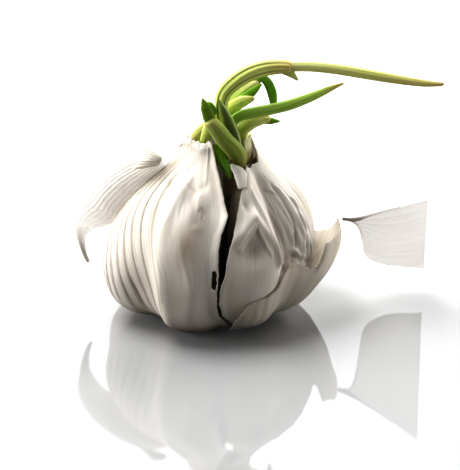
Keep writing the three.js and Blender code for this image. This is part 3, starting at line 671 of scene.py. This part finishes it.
# Right wrapper skin: from the split round the right side to the back seam
rightSkin = {
    "frontEdge": 8,  # near enough for the rim; the split edge itself is the bulb's
    "backEdge": 182,
    "foot": 0.04,  # station on the profile where the skin starts
    "rimHeight": 40.9,
    "backRise": 4.4,  # the rim stands this much higher at the back
    "seamLift": 0.6,
    "ribs": [40, 44, 47.5, 51.5, 56, 60, 64.5, 68, 72, 76.5, 80.5, 85, 90, 95, 101, 107, 113, 119, 126,
             132, 139, 146, 153, 160, 168, 190],
    "ribRise": 0.5,
    "rippleRise": 0.015,
    "edgeLift": 0.4,
    "brownAndShade": {"rim": 0.22, "edge": 0.3, "foot": 0.35},  # browns of the rim and edge; the foot is darker towards the bottom
    "forms": [  # raised lines and grooves: bearing and height of the line, width, rise
        ([(38, 40), (28, 36), (24, 33)], 2.0, 0.7),
        ([(26, 29.6), (20.5, 27.8), (15, 25.2)], 0.5, 0.5),
        ([(28, 28.6), (31, 25.7), (33.5, 22.9)], 0.45, 0.5),
        ([(27, 31.5), (21, 29.6), (14, 27.2)], 1.6, 0.8),
        ([(28, 31), (33, 28.2), (38, 24.5), (40, 21)], 1.4, 0.8),
        ([(32, 36), (34, 33.7), (36.5, 29.2), (39, 25.6), (39.5, 20)], 0.9, 0.7),
        ([(60, 36), (60, 32.7), (60, 29.9), (59, 26.5), (56, 22)], 0.5, -0.7),
        ([(50, 36), (48.5, 32), (47, 28), (47, 23), (48, 19)], 2.8, -1.7),
        ([(45, 33), (44, 28), (44, 23)], 0.35, 0.3),
        ([(51, 34), (51, 29), (50, 24)], 0.35, 0.3),
        ([(63, 35), (64, 30), (63, 25), (60, 20)], 0.5, 0.45),
        ([(69, 32), (67, 27), (63.5, 21)], 0.5, 0.5),
        ([(53, 21.4), (56, 19.8), (59, 18.6)], 0.7, 0.7),
        ([(53, 20.0), (57, 18.3), (62, 17.6)], 0.5, -0.6),
    ],
    "bosses": [  # bearing and height, size across and up, rise
        ((24, 24.5), (3.6, 3.0), -1.3), ((24, 34.0), (1.5, 1.5), -0.9), ((20, 15), (6, 6), 0.5),
    ],
    "paintedShadeSpots": [  # painted shade: soft darker patches where the skin lies in shade
        ((24, 25.2), (2.8, 3.2), 0.5), ((24, 19), (4.0, 5), 0.06), ((24, 33.4), (0.9, 1.1), 0.5),
        ((46, 29), (1.9, 6), 0.7), ((55, 25), (1.6, 4), 0.2), ((27, 6), (9, 4), 0.25),
        ((14, 26), (1.2, 6), 0.15), ((66.5, 17), (2, 1.2), 0.25), ((50, 19.6), (3, 1.2), 0.25),
    ],
    # painted shadow lines along folds and creases
    "paintedShadeLines": [
        ([(53, 36), (58.5, 34), (60, 30), (59.5, 27), (56, 22)], 0.28, 0.5),
        ([(66.5, 30), (64.5, 25.5), (61.5, 20.5)], 0.25, 0.4),
        ([(72, 29), (69, 24), (65, 19)], 0.25, 0.35),
        ([(29, 31), (33, 28), (36.5, 24), (36, 20)], 0.2, 0.2),
        ([(44.5, 34), (44, 29), (44.5, 22)], 0.2, 0.25),
    ],
    "thickness": 0.28,
    "columns": 330,
    "rows": 130,
    "reach": (84, 58),
}


def rightSkinAt(u, v):  # bearing, station on the profile and height
    rough = mix(rightSkin["frontEdge"], rightSkin["backEdge"], u)
    backRise = rightSkin["backRise"] * eased(rough, 38, 83)
    rimHeight = rightSkin["rimHeight"] + backRise + 0.5 * ragged(rough * 0.4, 2.2)
    station = mix(rightSkin["foot"], stationAtHeight(rimHeight), v)
    height = heightAt(station)
    splitEdge = bearingOfX(along(bulb["splitRightEdge"], height), station) + 0.3 * ragged(height * 2.1, 1.9)
    return mix(splitEdge, rightSkin["backEdge"] + 2 * ragged(height, 1), u), station, height


def rightSkinPlace(u, v):
    bearing, station, height = rightSkinAt(u, v)
    crown, _, rib = ribs(bearing + 1.5 * np.sin(height * 0.22), rightSkin["ribs"], 2.2)
    strength = rightSkin["ribRise"] * eased(bearing, 38, 46) * eased(height, 13, 21)
    strength = strength * (1 - 0.85 * eased(height, 29, 37))
    proud = strength * (0.7 + 0.3 * np.sin(3.1 * rib)) * (crown - 0.5)
    ripple = rightSkin["rippleRise"] * np.sin(bearing * 2.3 + 0.25 * height) * eased(height, 6, 16)
    proud = proud + ripple
    proud = proud + summed(bearing, height, rightSkin["bosses"], rightSkin["forms"])
    proud = proud + rightSkin["edgeLift"] * eased(u, 0.03, 0)
    proud = proud + rightSkin["seamLift"] * eased(bearing, 150, 162)
    return bulbPoint(bearing, station, proud)


# browns of the rim and edge, with painted shade in soft patches and lines
def rightSkinAgeAndShade(u, v):
    bearing, _, height = rightSkinAt(u, v)
    brownAndShade = rightSkin["brownAndShade"]
    rim = brownAndShade["rim"] * eased(v, 0.95, 1)
    edge = brownAndShade["edge"] * eased(u, 0.012, 0)
    # darker towards the bottom
    foot = brownAndShade["foot"] * (1 - smooth(v / 0.1))
    # painted shade: the soft patches and the shadow lines
    dark = summed(bearing, height, rightSkin["paintedShadeSpots"], rightSkin["paintedShadeLines"])
    return np.clip(rim + edge + foot + dark, 0, darkestAgeAndShade)


bm = bmesh.new()
addGrid(bm, rightSkinPlace, rightSkin["columns"], rightSkin["rows"], rightSkin["reach"], rightSkinAgeAndShade)
dress(newMesh("rightWrapperSkin", bm, paperSkin, rightSkin["thickness"]), "paper_skin", "wrapper_right")
print("right wrapper skin")


# Lower cup skin: torn off short, hugging the front and standing away at the right as a beak
cup = {
    "bearings": (13, 152),
    "rim": [  # bearing and height of the torn edge
        (13, 4.5), (19, 11.0), (27, 12.2), (36, 13.6), (41, 17.0), (51, 18.6), (56, 16.4), (60, 15.8),
        (63, 16.6), (66, 20.8), (76, 21.8), (88, 21.8), (98, 19.8), (108, 16.6), (122, 14.0), (140, 11.0),
        (152, 6.5),
    ],
    "foot": (0.05, 0.12),  # station on the profile where the skin starts, in front and at the back
    "standoff": 0.85,
    "beak": {"bearing": 88, "spread": 26, "flare": 7.3},
    "fibres": {"count": 46, "rise": 0.05},
    "lipRise": 0.15,
    "brownAndShade": {"beak": 0.05, "torn": 0.3, "notch": 0.4, "front": 0.5, "foot": 0.3},  # browns of the beak, torn edge and notch; the front and the foot are darker towards the bottom
    "thickness": 0.3,
    "columns": 220,
    "rows": 70,
    "reach": (68, 24),
}


def cupPlace(u, v):
    bearing = mix(*cup["bearings"], u)
    foot = mix(*cup["foot"], eased(bearing, 90, 130))
    torn = 0.3 * ragged(bearing * 1.9, 0.3) + 0.25 * ragged(bearing * 4.6, 1.2)
    station = mix(foot, stationAtHeight(along(cup["rim"], bearing) + torn), v)
    beak = np.exp(-((bearing - cup["beak"]["bearing"]) / cup["beak"]["spread"]) ** 2)
    flare = cup["beak"]["flare"] * beak * eased(heightAt(station), 3, 23)
    wander = 0.6 * np.sin(9 * u)
    fibre = cup["fibres"]["rise"] * np.cos(np.pi * cup["fibres"]["count"] * u + wander) * smooth(v * 4)
    lip = cup["lipRise"] * eased(v, 0.93, 1) * eased(bearing, 70, 50)
    return bulbPoint(bearing, station, cup["standoff"] + flare + fibre + lip)


def cupAge(u, v):
    brownAndShade = cup["brownAndShade"]
    beak = brownAndShade["beak"] * eased(u, 0.3, 0.5) * v
    torn = brownAndShade["torn"] * eased(v, 0.965, 1) * (1 - eased(u, 0.36, 0.42))
    notch = brownAndShade["notch"] * np.exp(-(((u - 0.365) / 0.02) ** 2) - ((v - 0.95) / 0.06) ** 2)
    front = brownAndShade["front"] * (1 - smooth(v / 0.7)) * (1 - eased(u, 0.2, 0.35))
    foot = brownAndShade["foot"] * (1 - smooth(v / 0.2))
    return np.clip(beak + torn + notch + front + foot, 0, darkestAgeAndShade)


bm = bmesh.new()
addGrid(bm, cupPlace, cup["columns"], cup["rows"], cup["reach"], cupAge)
dress(newMesh("lowerCupSkin", bm, cupSkin, cup["thickness"]), "paper_skin", "cup_skin")
print("cup skin")


# Thin skins between two long edges that run from root to tip
def skinBetween(look):
    first = curveThrough(look["edgeA"])
    second = curveThrough(look["edgeB"])
    bulge = np.array(look["bulge"], float)

    def surface(u, v):
        a = pointAt(first, v)
        b = pointAt(second, v)
        swell = (np.sin(np.pi * u) * np.sin(np.pi * v))[:, None]
        crown, _, rib = ribs(u, np.linspace(0, 1, look["ribs"] + 1), 2.2)
        uneven = 0.75 + 0.25 * np.sin(2.1 * rib)
        ribbed = look["ribDepth"] * (crown - 0.5) * uneven * np.clip(5 * np.minimum(v, 1 - v), 0, 1)
        torn = look["ragged"] * (ragged(60 * v, 0.8) * (1 - u) ** 3 + ragged(55 * v, 2.8) * u ** 3)
        place = mix(a, b, u[:, None]) + bulge * swell
        return place + unit(bulge) * ribbed[:, None] + unit(b - a) * torn[:, None]

    return surface


def addThinSkin(bm, look, ageAndShade=None, veil=None):
    addGrid(bm, skinBetween(look), *look["grid"], look["reach"], ageAndShade, veil=veil)


wing = {  # sprung away on the left: rooted along the bulb's side, and free from there to its tip
    "rootLine": [(-72, 39.4), (-73, 36), (-74.5, 32), (-76, 28), (-78, 25)],
    "edgeA": [(-13.2, -1.6, 41.4), (-17.2, 0, 42.8), (-28, 1, 38.2), (-35.4, 2, 29.0), (-34.8, 2, 18.5),
              (-32.4, 0.8, 11.4)],
    "freeEdge": [(-28.9, -3.4, 22.9), (-30.6, -1.8, 21.7), (-32.4, 0, 18.8), (-32.6, 1, 14.8),
                 (-31.8, 1.2, 11.4)],
    "ribs": 12, "ribDepth": 0.28, "bulge": (-1.0, -2.4, 0.6), "ragged": 0.2,
    "grid": (110, 150), "reach": (26, 42), "thickness": 0.2,
    "brownAndShade": 0.5, "veil": {"all": 0.2, "low": 0.25, "outer": 0.4},
}
wing["edgeB"] = [
    tuple(bulbPoint(bearing, stationAtHeight(height), 0.3)) for bearing, height in wing["rootLine"]
] + wing["freeEdge"]


def wingAge(u, v):
    inner = smooth(u / 0.06) * eased(u, 1, 0.94)
    crease = (1 - evenRib(u * wing["ribs"])) ** 4
    return wing["brownAndShade"] * inner * crease * (1 - 0.5 * smooth(v / 0.8))


def wingVeil(u, v):
    low = wing["veil"]["low"] * eased(v, 0.45, 0.65) * (1 - eased(v, 0.85, 0.95))
    outer = wing["veil"]["outer"] * eased(u, 0.3, 0) * smooth(v / 0.3) * (1 - eased(v, 0.55, 0.75))
    return wing["veil"]["all"] + low + outer


bm = bmesh.new()
addThinSkin(bm, wing, wingAge, wingVeil)
dress(newMesh("leftWing", bm, thinSkin, wing["thickness"]), "thin_skin", "wing_skin")

flap = {  # peeled off the cup, hanging from its strand
    "edgeA": [(33.2, -1.6, 24.5), (36.3, -3, 25.0), (41.2, -5, 27.4), (53.5, -12.2, 33.4)],
    "edgeB": [(33.3, -1.0, 23.7), (36.4, -1.6, 23.7), (38.6, 3, 17), (40.6, 7.5, 10), (46.5, 9, 7.1),
              (55.7, 8.6, 6.5)],
    "ribs": 9, "ribDepth": 0.28, "bulge": (0, -1.6, -1.4), "ragged": 0.15,
    "grid": (90, 90), "reach": (26, 24), "veil": 0.5, "thickness": 0.2,
}
strand = {  # the flap's rolled upper edge, brown at its root and fading out along the flap
    "edgeA": [(33.1, -1.7, 24.7), (36.3, -3.2, 25.4), (41.2, -5.3, 27.6), (47, -8.6, 30.4)],
    "edgeB": [(33.3, -1.2, 23.9), (36.4, -2.9, 24.2), (41.3, -5.2, 27.0), (47, -8.5, 30.0)],
    "ribs": 2, "ribDepth": 0.15, "bulge": (0.3, -0.5, 0.1), "ragged": 0.05,
    "grid": (10, 60), "reach": (1.2, 16), "brownAndShade": 0.6, "veil": 0.8,
}


def strandAge(u, v):
    return strand["brownAndShade"] * (1 - smooth(v / 0.5))


def strandVeil(u, v):
    return strand["veil"] * eased(v, 0.15, 0.75)


bm = bmesh.new()
addThinSkin(bm, flap, veil=lambda u, v: flap["veil"])
addThinSkin(bm, strand, strandAge, strandVeil)
dress(newMesh("peeledFlap", bm, shadedFlapSkin, flap["thickness"]), "thin_skin", "peeled_flap")

fan = {  # ridged scrap with a straight torn edge, above the gather
    "edgeA": [(-12.2, -5.7, 42.2), (-14.2, -4.6, 43.4), (-16.2, -3.5, 44.2)],
    "edgeB": [(-12.9, -6.5, 40.8), (-15.9, -6.1, 40.1), (-19.2, -5.4, 39.3)],
    "ribs": 7, "ribDepth": 0.4, "bulge": (0, -0.6, 0.5), "ragged": 0.08,
    "grid": (60, 40), "reach": (4, 7), "thickness": 0.22, "brownAndShade": 0.55,
}
bm = bmesh.new()
addThinSkin(bm, fan, lambda u, v: fan["brownAndShade"] * (1 - evenRib(u * fan["ribs"])) ** 3)
dress(newMesh("tornFan", bm, paperSkin, fan["thickness"]), "dry_neck_skin", "torn_fan")

tip = {  # cream pointed scrap at the top of the split
    "edgeA": [(4.6, -10.9, 42.4), (5.6, -12.3, 40.4), (6.7, -15.0, 37.5)],
    "edgeB": [(5.2, -10.8, 42.5), (8.1, -11.0, 40.8), (8.6, -14.2, 37.6)],
    "ribs": 3, "ribDepth": 0.1, "bulge": (0.2, -0.5, 0.2), "ragged": 0.1,
    "grid": (30, 40), "reach": (3, 6), "thickness": 0.25,
}
bm = bmesh.new()
addThinSkin(bm, tip)
dress(newMesh("splitSkinTip", bm, paperSkin, tip["thickness"]), "paper_skin", "split_skin_tip")


# Neck sheath: the dry skin behind and right of the shoots
neckSheath = {
    "middle": (3.4, 0.2),  # x and y of the round it stands on
    "turns": (48, 200),  # bearings where it starts and ends
    "heights": (40.0, 46.4),
    "backDrop": 2.0,  # its top falls this far towards the back
    "radii": (7.0, 6.3),
    "strands": 15,
    "thickness": 0.25,
    "columns": 120,
    "rows": 36,
    "reach": (17, 6),
}


def sheathPlace(u, v):
    turn = np.radians(mix(*neckSheath["turns"], u))
    foot, top = neckSheath["heights"]
    top = top - neckSheath["backDrop"] * eased(u, 0.3, 1) + 0.35 * ragged(30 * u, 1)
    strands = 0.1 * (evenRib(u * neckSheath["strands"]) - 0.5)
    radius = mix(*neckSheath["radii"], v) + strands + 0.3 * eased(v, 0.9, 1)
    x, y = neckSheath["middle"]
    return np.stack([x + radius * np.sin(turn), y - radius * np.cos(turn), mix(foot, top, v)], -1)


def sheathPocketShade(u, v):  # painted shade down in the pocket beside the front shoot
    return darkestAgeAndShade * (1 - eased(v, 0.35, 0.7)) * (1 - eased(u, 0.25, 0.4))


bm = bmesh.new()
addGrid(bm, sheathPlace, neckSheath["columns"], neckSheath["rows"], neckSheath["reach"], sheathPocketShade)
dress(newMesh("neckSheath", bm, beigeSkin, neckSheath["thickness"]), "dry_neck_skin", "neck_sheath")
print("thin skins")

# Shoots, each from the tip of its own clove
leafLook = {  # gaps between streaks in mm, and how many run from root to tip
    # the groove colour is painted shade inside a sheath's grooves and a channelled leaf
    "streakGap": 0.4, "streakRuns": 3, "streakShow": 0.5, "grooveShadeColour": "#3c4a18",
    "ior": 1.42, "shine": 0.2, "roughness": 0.34, "smoother": 0.06, "rougher": 0.1, "glow": 0.15,
}
sheathLook = dict(leafLook, streakGap=0.5, streakRuns=2.5, streakShow=0.35, roughness=0.36, glow=0.1)
oliveSheath = leafFinish("waxyLeafSheath", dict(  # pale olive, nearly straw at its root
    sheathLook, streak="#6c7f2d",
    stops=[(0, "#bcb06a"), (0.35, "#8f9c45"), (0.8, "#9cad52"), (1, "#bebc72")]))
strawSheath = leafFinish("strawLeafSheath", dict(  # lighter, yellower sheath of the smaller shoots
    sheathLook, streak="#7a8b3c",
    stops=[(0, "#d4c188"), (0.35, "#a2ab59"), (0.8, "#b0be69"), (1, "#d6ce92")]))
paleSheath = leafFinish("paleLeafSheath", dict(  # whitish green outer sheath with a dry mouth
    leafLook, streak="#8ca141", streakGap=0.6, streakShow=0.45, roughness=0.36,
    stops=[(0, "#a8b955"), (0.3, "#cbd971"), (0.75, "#e9ef97"), (1, "#deca85")]))
longLeaf = leafFinish("longPaleLeaf", dict(  # yellow-green leaf that turns brown at its blunt tip
    leafLook, streak="#b4bf65", streakGap=0.6,
    stops=[(0, "#efefab"), (0.5, "#e5e792"), (0.93, "#e6d78d"), (1, "#e5ba99")]))
greenLeaf = leafFinish("youngGreenLeaf", dict(  # bright leaf green, deeper along its streaks
    leafLook, streak="#497615", roughness=0.32, glow=0.2,
    stops=[(0, "#83a82b"), (0.6, "#6fa323"), (1, "#86b537")]))
midLeaf = leafFinish("middleGreenLeaf", dict(  # fresh green, with a dry brown tip
    leafLook, streak="#729630", streakGap=0.45, streakRuns=4,
    stops=[(0, "#95b83f"), (0.35, "#aed45d"), (0.85, "#c6e26e"), (0.97, "#deca77"), (1, "#d79e74")]))
darkGreen = leafFinish("darkGreenLeaf", dict(  # the deep green of the leaf tips
    leafLook, streak="#4c6a12", roughness=0.3,
    stops=[(0, "#7b9c1f"), (0.7, "#6a8d17"), (1, "#89a423")]))
edgedLeaf = leafFinish("paleEdgedLeaf", dict(  # yellow-green blade with pale edges
    leafLook, streak="#7d9748", streakShow=0.4, roughness=0.32,
    stops=[(0, "#cfcb9a"), (0.15, "#a5b768"), (0.8, "#98ab5c"), (1, "#a3b569")]))

frontShoot = [
    {"route": [(7.0, -5.0, 40.3), (6.7, -7.4, 43.4), (5.2, -9.4, 46.2), (3.6, -10.5, 48.4),
               (1.5, -11.5, 51.6), (-0.7, -12, 54.6)], "radii": [1.5, 1.9, 2.2, 2.2, 2.1, 1.9, 1.5]},
    {"route": [(0.4, -11.7, 52.6), (-0.9, -12, 56.4), (-2.1, -12, 59.9)], "radii": [1.3, 1.5, 1.2, 0.2],
     "flatness": 0.6, "finish": 1},
]
openLeaf = {
    "route": [(7.2, -8.6, 44.4), (6.8, -9.0, 46.9), (5.4, -9.8, 51.2), (3.6, -9.8, 55.4), (1.9, -9.4, 58.6)],
    "halfWidths": [0.5, 1.3, 1.7, 1.6, 1.1, 0.25], "curl": 1.15, "facing": (0.55, -1, 0.25),
    # how dark the painted shade in its hollow is
    "channelShade": 0.85, "finish": 2,
}
bm = bmesh.new()
for look in frontShoot:
    addStem(bm, look)
addBlade(bm, openLeaf)
dress(newMesh("frontShoot", bm, [oliveSheath, darkGreen, edgedLeaf]), "shoot_sheath", "shoot_front")

longShoot = [
    {"route": [(1.9, -4.4, 42.2), (2.4, -5.3, 47), (2.5, -5.6, 52), (2.5, -5.5, 56.3), (3.2, -5, 58.9),
               (5.6, -4.5, 61.4), (8.8, -4, 63.4), (12.4, -3.5, 64.6), (16.1, -3, 65.0), (19.8, -3, 65.0)],
     "radii": [1.5, 1.4, 1.4, 1.4, 1.7, 1.9, 2.0, 2.0, 1.8, 1.5], "sides": 64,
     # painted shade along two grooves, one in the crease
     "crease": {"at": 0.33, "depth": 0.1}, "shadedGrooves": [(0.14, 0.022), (0.33, 0.016)]},
    {"route": [(17.2, -3.2, 64.6), (19.4, -3.4, 63.6), (21.4, -3.4, 61.6)], "radii": [1.2, 1.0, 0.2],
     "flatness": 0.6},
    {"route": [(18.4, -3, 65.1), (25.4, -3, 65.0), (32.8, -3, 64.1), (40.2, -3, 62.8), (47.6, -3, 61.5),
               (53.8, -3, 60.7), (57.4, -3, 60.6)], "radii": [1.2, 1.2, 1.25, 1.25, 1.2, 1.1, 0.9, 0.45],
     "flatness": 0.75, "finish": 1},
]
bm = bmesh.new()
for look in longShoot:
    addStem(bm, look)
dress(newMesh("longShoot", bm, [paleSheath, longLeaf]), "shoot_sheath", "shoot_long")

bm = bmesh.new()
addStem(bm, {
    "route": [(4.2, -1.4, 42.4), (4.6, -2.3, 47.3), (5.4, -3.9, 51.1), (7.0, -4.5, 52.8), (9.8, -4.5, 53.6),
              (14.5, -4, 54.4), (19.9, -3.5, 55.6), (25.6, -3, 57.7), (29.8, -2.5, 59.5), (32.8, -2, 60.6)],
    "radii": [1.2, 1.2, 1.25, 1.3, 1.35, 1.3, 1.25, 1.1, 0.8, 0.2], "flatness": 0.85})
dress(newMesh("middleShoot", bm, midLeaf), "shoot_sheath", "shoot_middle")

bm = bmesh.new()
addStem(bm, {
    "route": [(7.0, 1.2, 41.6), (7.0, 0.4, 45.2), (7.7, -0.4, 48.0), (9.8, -0.8, 49.9), (12.4, -0.5, 50.7),
              (14.8, 0, 50.7)], "radii": [1.4, 1.5, 1.6, 1.7, 1.5, 0.9]})
addStem(bm, {
    "route": [(12.8, -0.4, 50.3), (15.1, 0, 50.1), (17.3, 0, 50.0)], "radii": [0.9, 0.8, 0.15],
    "flatness": 0.7, "finish": 1})
dress(newMesh("shortShoot", bm, [paleSheath, greenLeaf]), "shoot_sheath", "shoot_short")

leftShoot = [
    {"route": [(-5.4, -2.4, 42), (-4.6, -2, 45.2), (-2.9, -1, 47.2), (0.1, 0, 49.2), (3.6, 1, 52.3),
               (6.6, 2, 55.2), (9.6, 2.5, 57.9), (11.8, 3, 59.5)],
     "radii": [1.3, 1.4, 1.5, 1.7, 2.2, 2.4, 2.0, 0.5]},
    {"route": [(5.2, 0.2, 54.4), (7.6, -0.2, 55.9), (10.4, 0, 57.8), (12.6, 0.4, 59.8)],
     "radii": [0.8, 1.1, 1.0, 0.2], "flatness": 0.6, "finish": 1},
    {"route": [(3.4, 0, 52.3), (5.4, -1.2, 54.3), (7.8, -1.6, 55.7), (10.8, -1.6, 56.6)],
     "radii": [1.2, 1.5, 1.4, 0.5], "flatness": 0.7, "finish": 2},
]
curlingLeaf = {
    "route": [(9.0, 2.6, 57.2), (11.2, 2.8, 59.2), (12.6, 3.2, 60.2), (13.9, 3.6, 59.2), (15.1, 4, 56.6),
              (15.6, 4.5, 53.6), (15.4, 5, 50.2)], "halfWidths": [0.6, 0.8, 1.0, 1.2, 1.2, 0.9, 0.25],
    "curl": 0.6, "facing": (0.3, -1, 0.1), "finish": 1}
bm = bmesh.new()
for look in leftShoot:
    addStem(bm, look)
addBlade(bm, curlingLeaf)
dress(newMesh("leftShoot", bm, [strawSheath, greenLeaf, paleSheath]), "shoot_sheath", "shoot_left")

bm = bmesh.new()
addStem(bm, {"route": [(-1.6, -3.8, 42.6), (-1.7, -5.0, 46.5), (-0.7, -6.9, 51.0), (0.0, -7.2, 54.6)],
             "radii": [1.0, 1.1, 1.2, 1.1]})
addStem(bm, {"route": [(0.6, -7.3, 53.8), (0.2, -7.5, 55.8), (-0.6, -7.5, 56.9), (-1.5, -7.5, 56.3)],
             "radii": [0.9, 1.0, 0.8, 0.3], "finish": 1})
dress(newMesh("budShoot", bm, [paleSheath, darkGreen]), "green_leaf", "shoot_bud")

bm = bmesh.new()
addBlade(bm, {"route": [(0.4, -6.6, 46.2), (1.5, -7.9, 44.5), (2.9, -9.1, 42.3), (4.1, -9.9, 40.2),
                        (4.7, -10.5, 38.6)], "halfWidths": [0.4, 1.2, 1.4, 1.1, 0.3], "curl": 0.5})
dress(newMesh("darkLeaf", bm, greenLeaf), "green_leaf", "leaf_dark")
print("shoots")

# Cloves and root disc keep the frame's shape
carriedFinishes = {"clove_": cloveSkin, "basal_plate": corkyDisc}
for name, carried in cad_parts.items():
    for start, finish in carriedFinishes.items():
        if name.startswith(start):
            carried.data.materials.clear()
            carried.data.materials.append(finish)
print("cloves and root disc")

# Stage: glossy white surface, bright white surroundings, camera
studio = {
    "elevation": 22, "distance": 450, "target": (4.615, 0, 19.358), "lens": 134.4,
    "seen": 1.05,  # brightness of the surroundings behind the bulb
    "mirrored": 2.8,  # and as the glossy surface mirrors them
    "surface": "#a0a0a0",
    "surfaceBounce": "#605d5a",  # dim to the bulb's underside, so that its belly falls into shade
}
surface = bpy.data.meshes.new("glossySurface")
bm = bmesh.new()
bmesh.ops.create_grid(bm, x_segments=1, y_segments=1, size=6)
bm.to_mesh(surface)
bm.free()
floor = bpy.data.objects.new("glossySurface", surface)
bpy.context.scene.collection.objects.link(floor)
whiteGloss, tree = newMaterial("glossyWhiteAcrylic")
fromCamera = addNode(tree, "ShaderNodeLightPath", {}).outputs["Is Camera Ray"]
sheen = addNode(tree, "ShaderNodeMix", {"data_type": "RGBA", 6: linear(studio["surfaceBounce"]),
                                        7: linear(studio["surface"])}, [(fromCamera, 0)])
face = addNode(tree, "ShaderNodeBsdfPrincipled", {"Roughness": 0.04, "IOR": 1.7},
               [(sheen.outputs[2], "Base Color")])
addNode(tree, "ShaderNodeOutputMaterial", {}, [(face.outputs[0], "Surface")])
surface.materials.append(whiteGloss)

world = bpy.data.worlds.new("whiteStudio")
bpy.context.scene.world = world
world.use_nodes = True
tree = world.node_tree
tree.nodes.clear()
rays = addNode(tree, "ShaderNodeLightPath", {})
looked = addNode(tree, "ShaderNodeMath", {"operation": "MAXIMUM"},
                 [(rays.outputs["Is Camera Ray"], 0), (rays.outputs["Is Glossy Ray"], 1)])
direct = addNode(tree, "ShaderNodeMath", {"operation": "LESS_THAN", 1: 0.5},
                 [(rays.outputs["Diffuse Depth"], 0)])
seen = addNode(tree, "ShaderNodeMath", {"operation": "MULTIPLY"},
               [(looked.outputs[0], 0), (direct.outputs[0], 1)])
strength = addNode(tree, "ShaderNodeMapRange", {"To Min": studio["seen"], "To Max": studio["mirrored"]},
                   [(rays.outputs["Is Glossy Ray"], "Value")])
shown = addNode(tree, "ShaderNodeMath", {"operation": "MULTIPLY"},
                [(strength.outputs[0], 0), (seen.outputs[0], 1)])  # it lights nothing by itself
white = addNode(tree, "ShaderNodeBackground", {"Color": (1, 1, 1, 1)}, [(shown.outputs[0], "Strength")])
addNode(tree, "ShaderNodeOutputWorld", {}, [(white.outputs[0], "Surface")])

lamps = {  # place and size in metres, brightness of its face
    "topSoftbox": {"at": (-0.32, 0.14, 0.76), "size": (0.5, 0.5), "power": 13.0},
    "topBackSoftbox": {"at": (-0.15, 0.5, 0.62), "size": (0.5, 0.5), "power": 4.0},
    "leftSoftbox": {"at": (-0.85, -0.04, 0.18), "size": (0.5, 0.4), "power": 12.0},
    "leftFrontSoftbox": {"at": (-0.7, -0.4, 0.35), "size": (0.5, 0.4), "power": 2.5},
    "leftBackSoftbox": {"at": (-0.7, 0.45, 0.35), "size": (0.4, 0.4), "power": 6.0},
    "rightBackSoftbox": {"at": (0.6, 0.6, 0.45), "size": (0.5, 0.5), "power": 12.0},
    "rightSoftbox": {"at": (0.85, -0.15, 0.1), "size": (0.5, 0.4), "power": 9.0},
}
middle = Vector((0.0, 0.0, 0.025))
for name, look in lamps.items():
    light = bpy.data.lights.new(name, "AREA")
    light.shape = "RECTANGLE"
    light.size, light.size_y = look["size"]
    light.energy = look["power"] * math.pi * look["size"][0] * look["size"][1]
    lamp = bpy.data.objects.new(name, light)
    lamp.location = look["at"]
    lamp.rotation_euler = (middle - Vector(look["at"])).to_track_quat("-Z", "Y").to_euler()
    lamp.visible_camera = False
    lamp.visible_glossy = False
    bpy.context.scene.collection.objects.link(lamp)

camera = bpy.data.objects.new("photoCamera", bpy.data.cameras.new("photoCamera"))
bpy.context.scene.collection.objects.link(camera)
tilt = math.radians(studio["elevation"])
back = Vector((0, -math.cos(tilt), math.sin(tilt)))
camera.location = (Vector(studio["target"]) + back * studio["distance"]) * mm
camera.rotation_euler = (math.radians(90) - tilt, 0, 0)
camera.data.lens = studio["lens"]
camera.data.sensor_width = 36
camera.data.clip_start = 0.01
bpy.context.scene.camera = camera
bpy.context.scene.view_settings.view_transform = "Standard"
bpy.context.scene.view_settings.gamma = 0.8
print("stage")
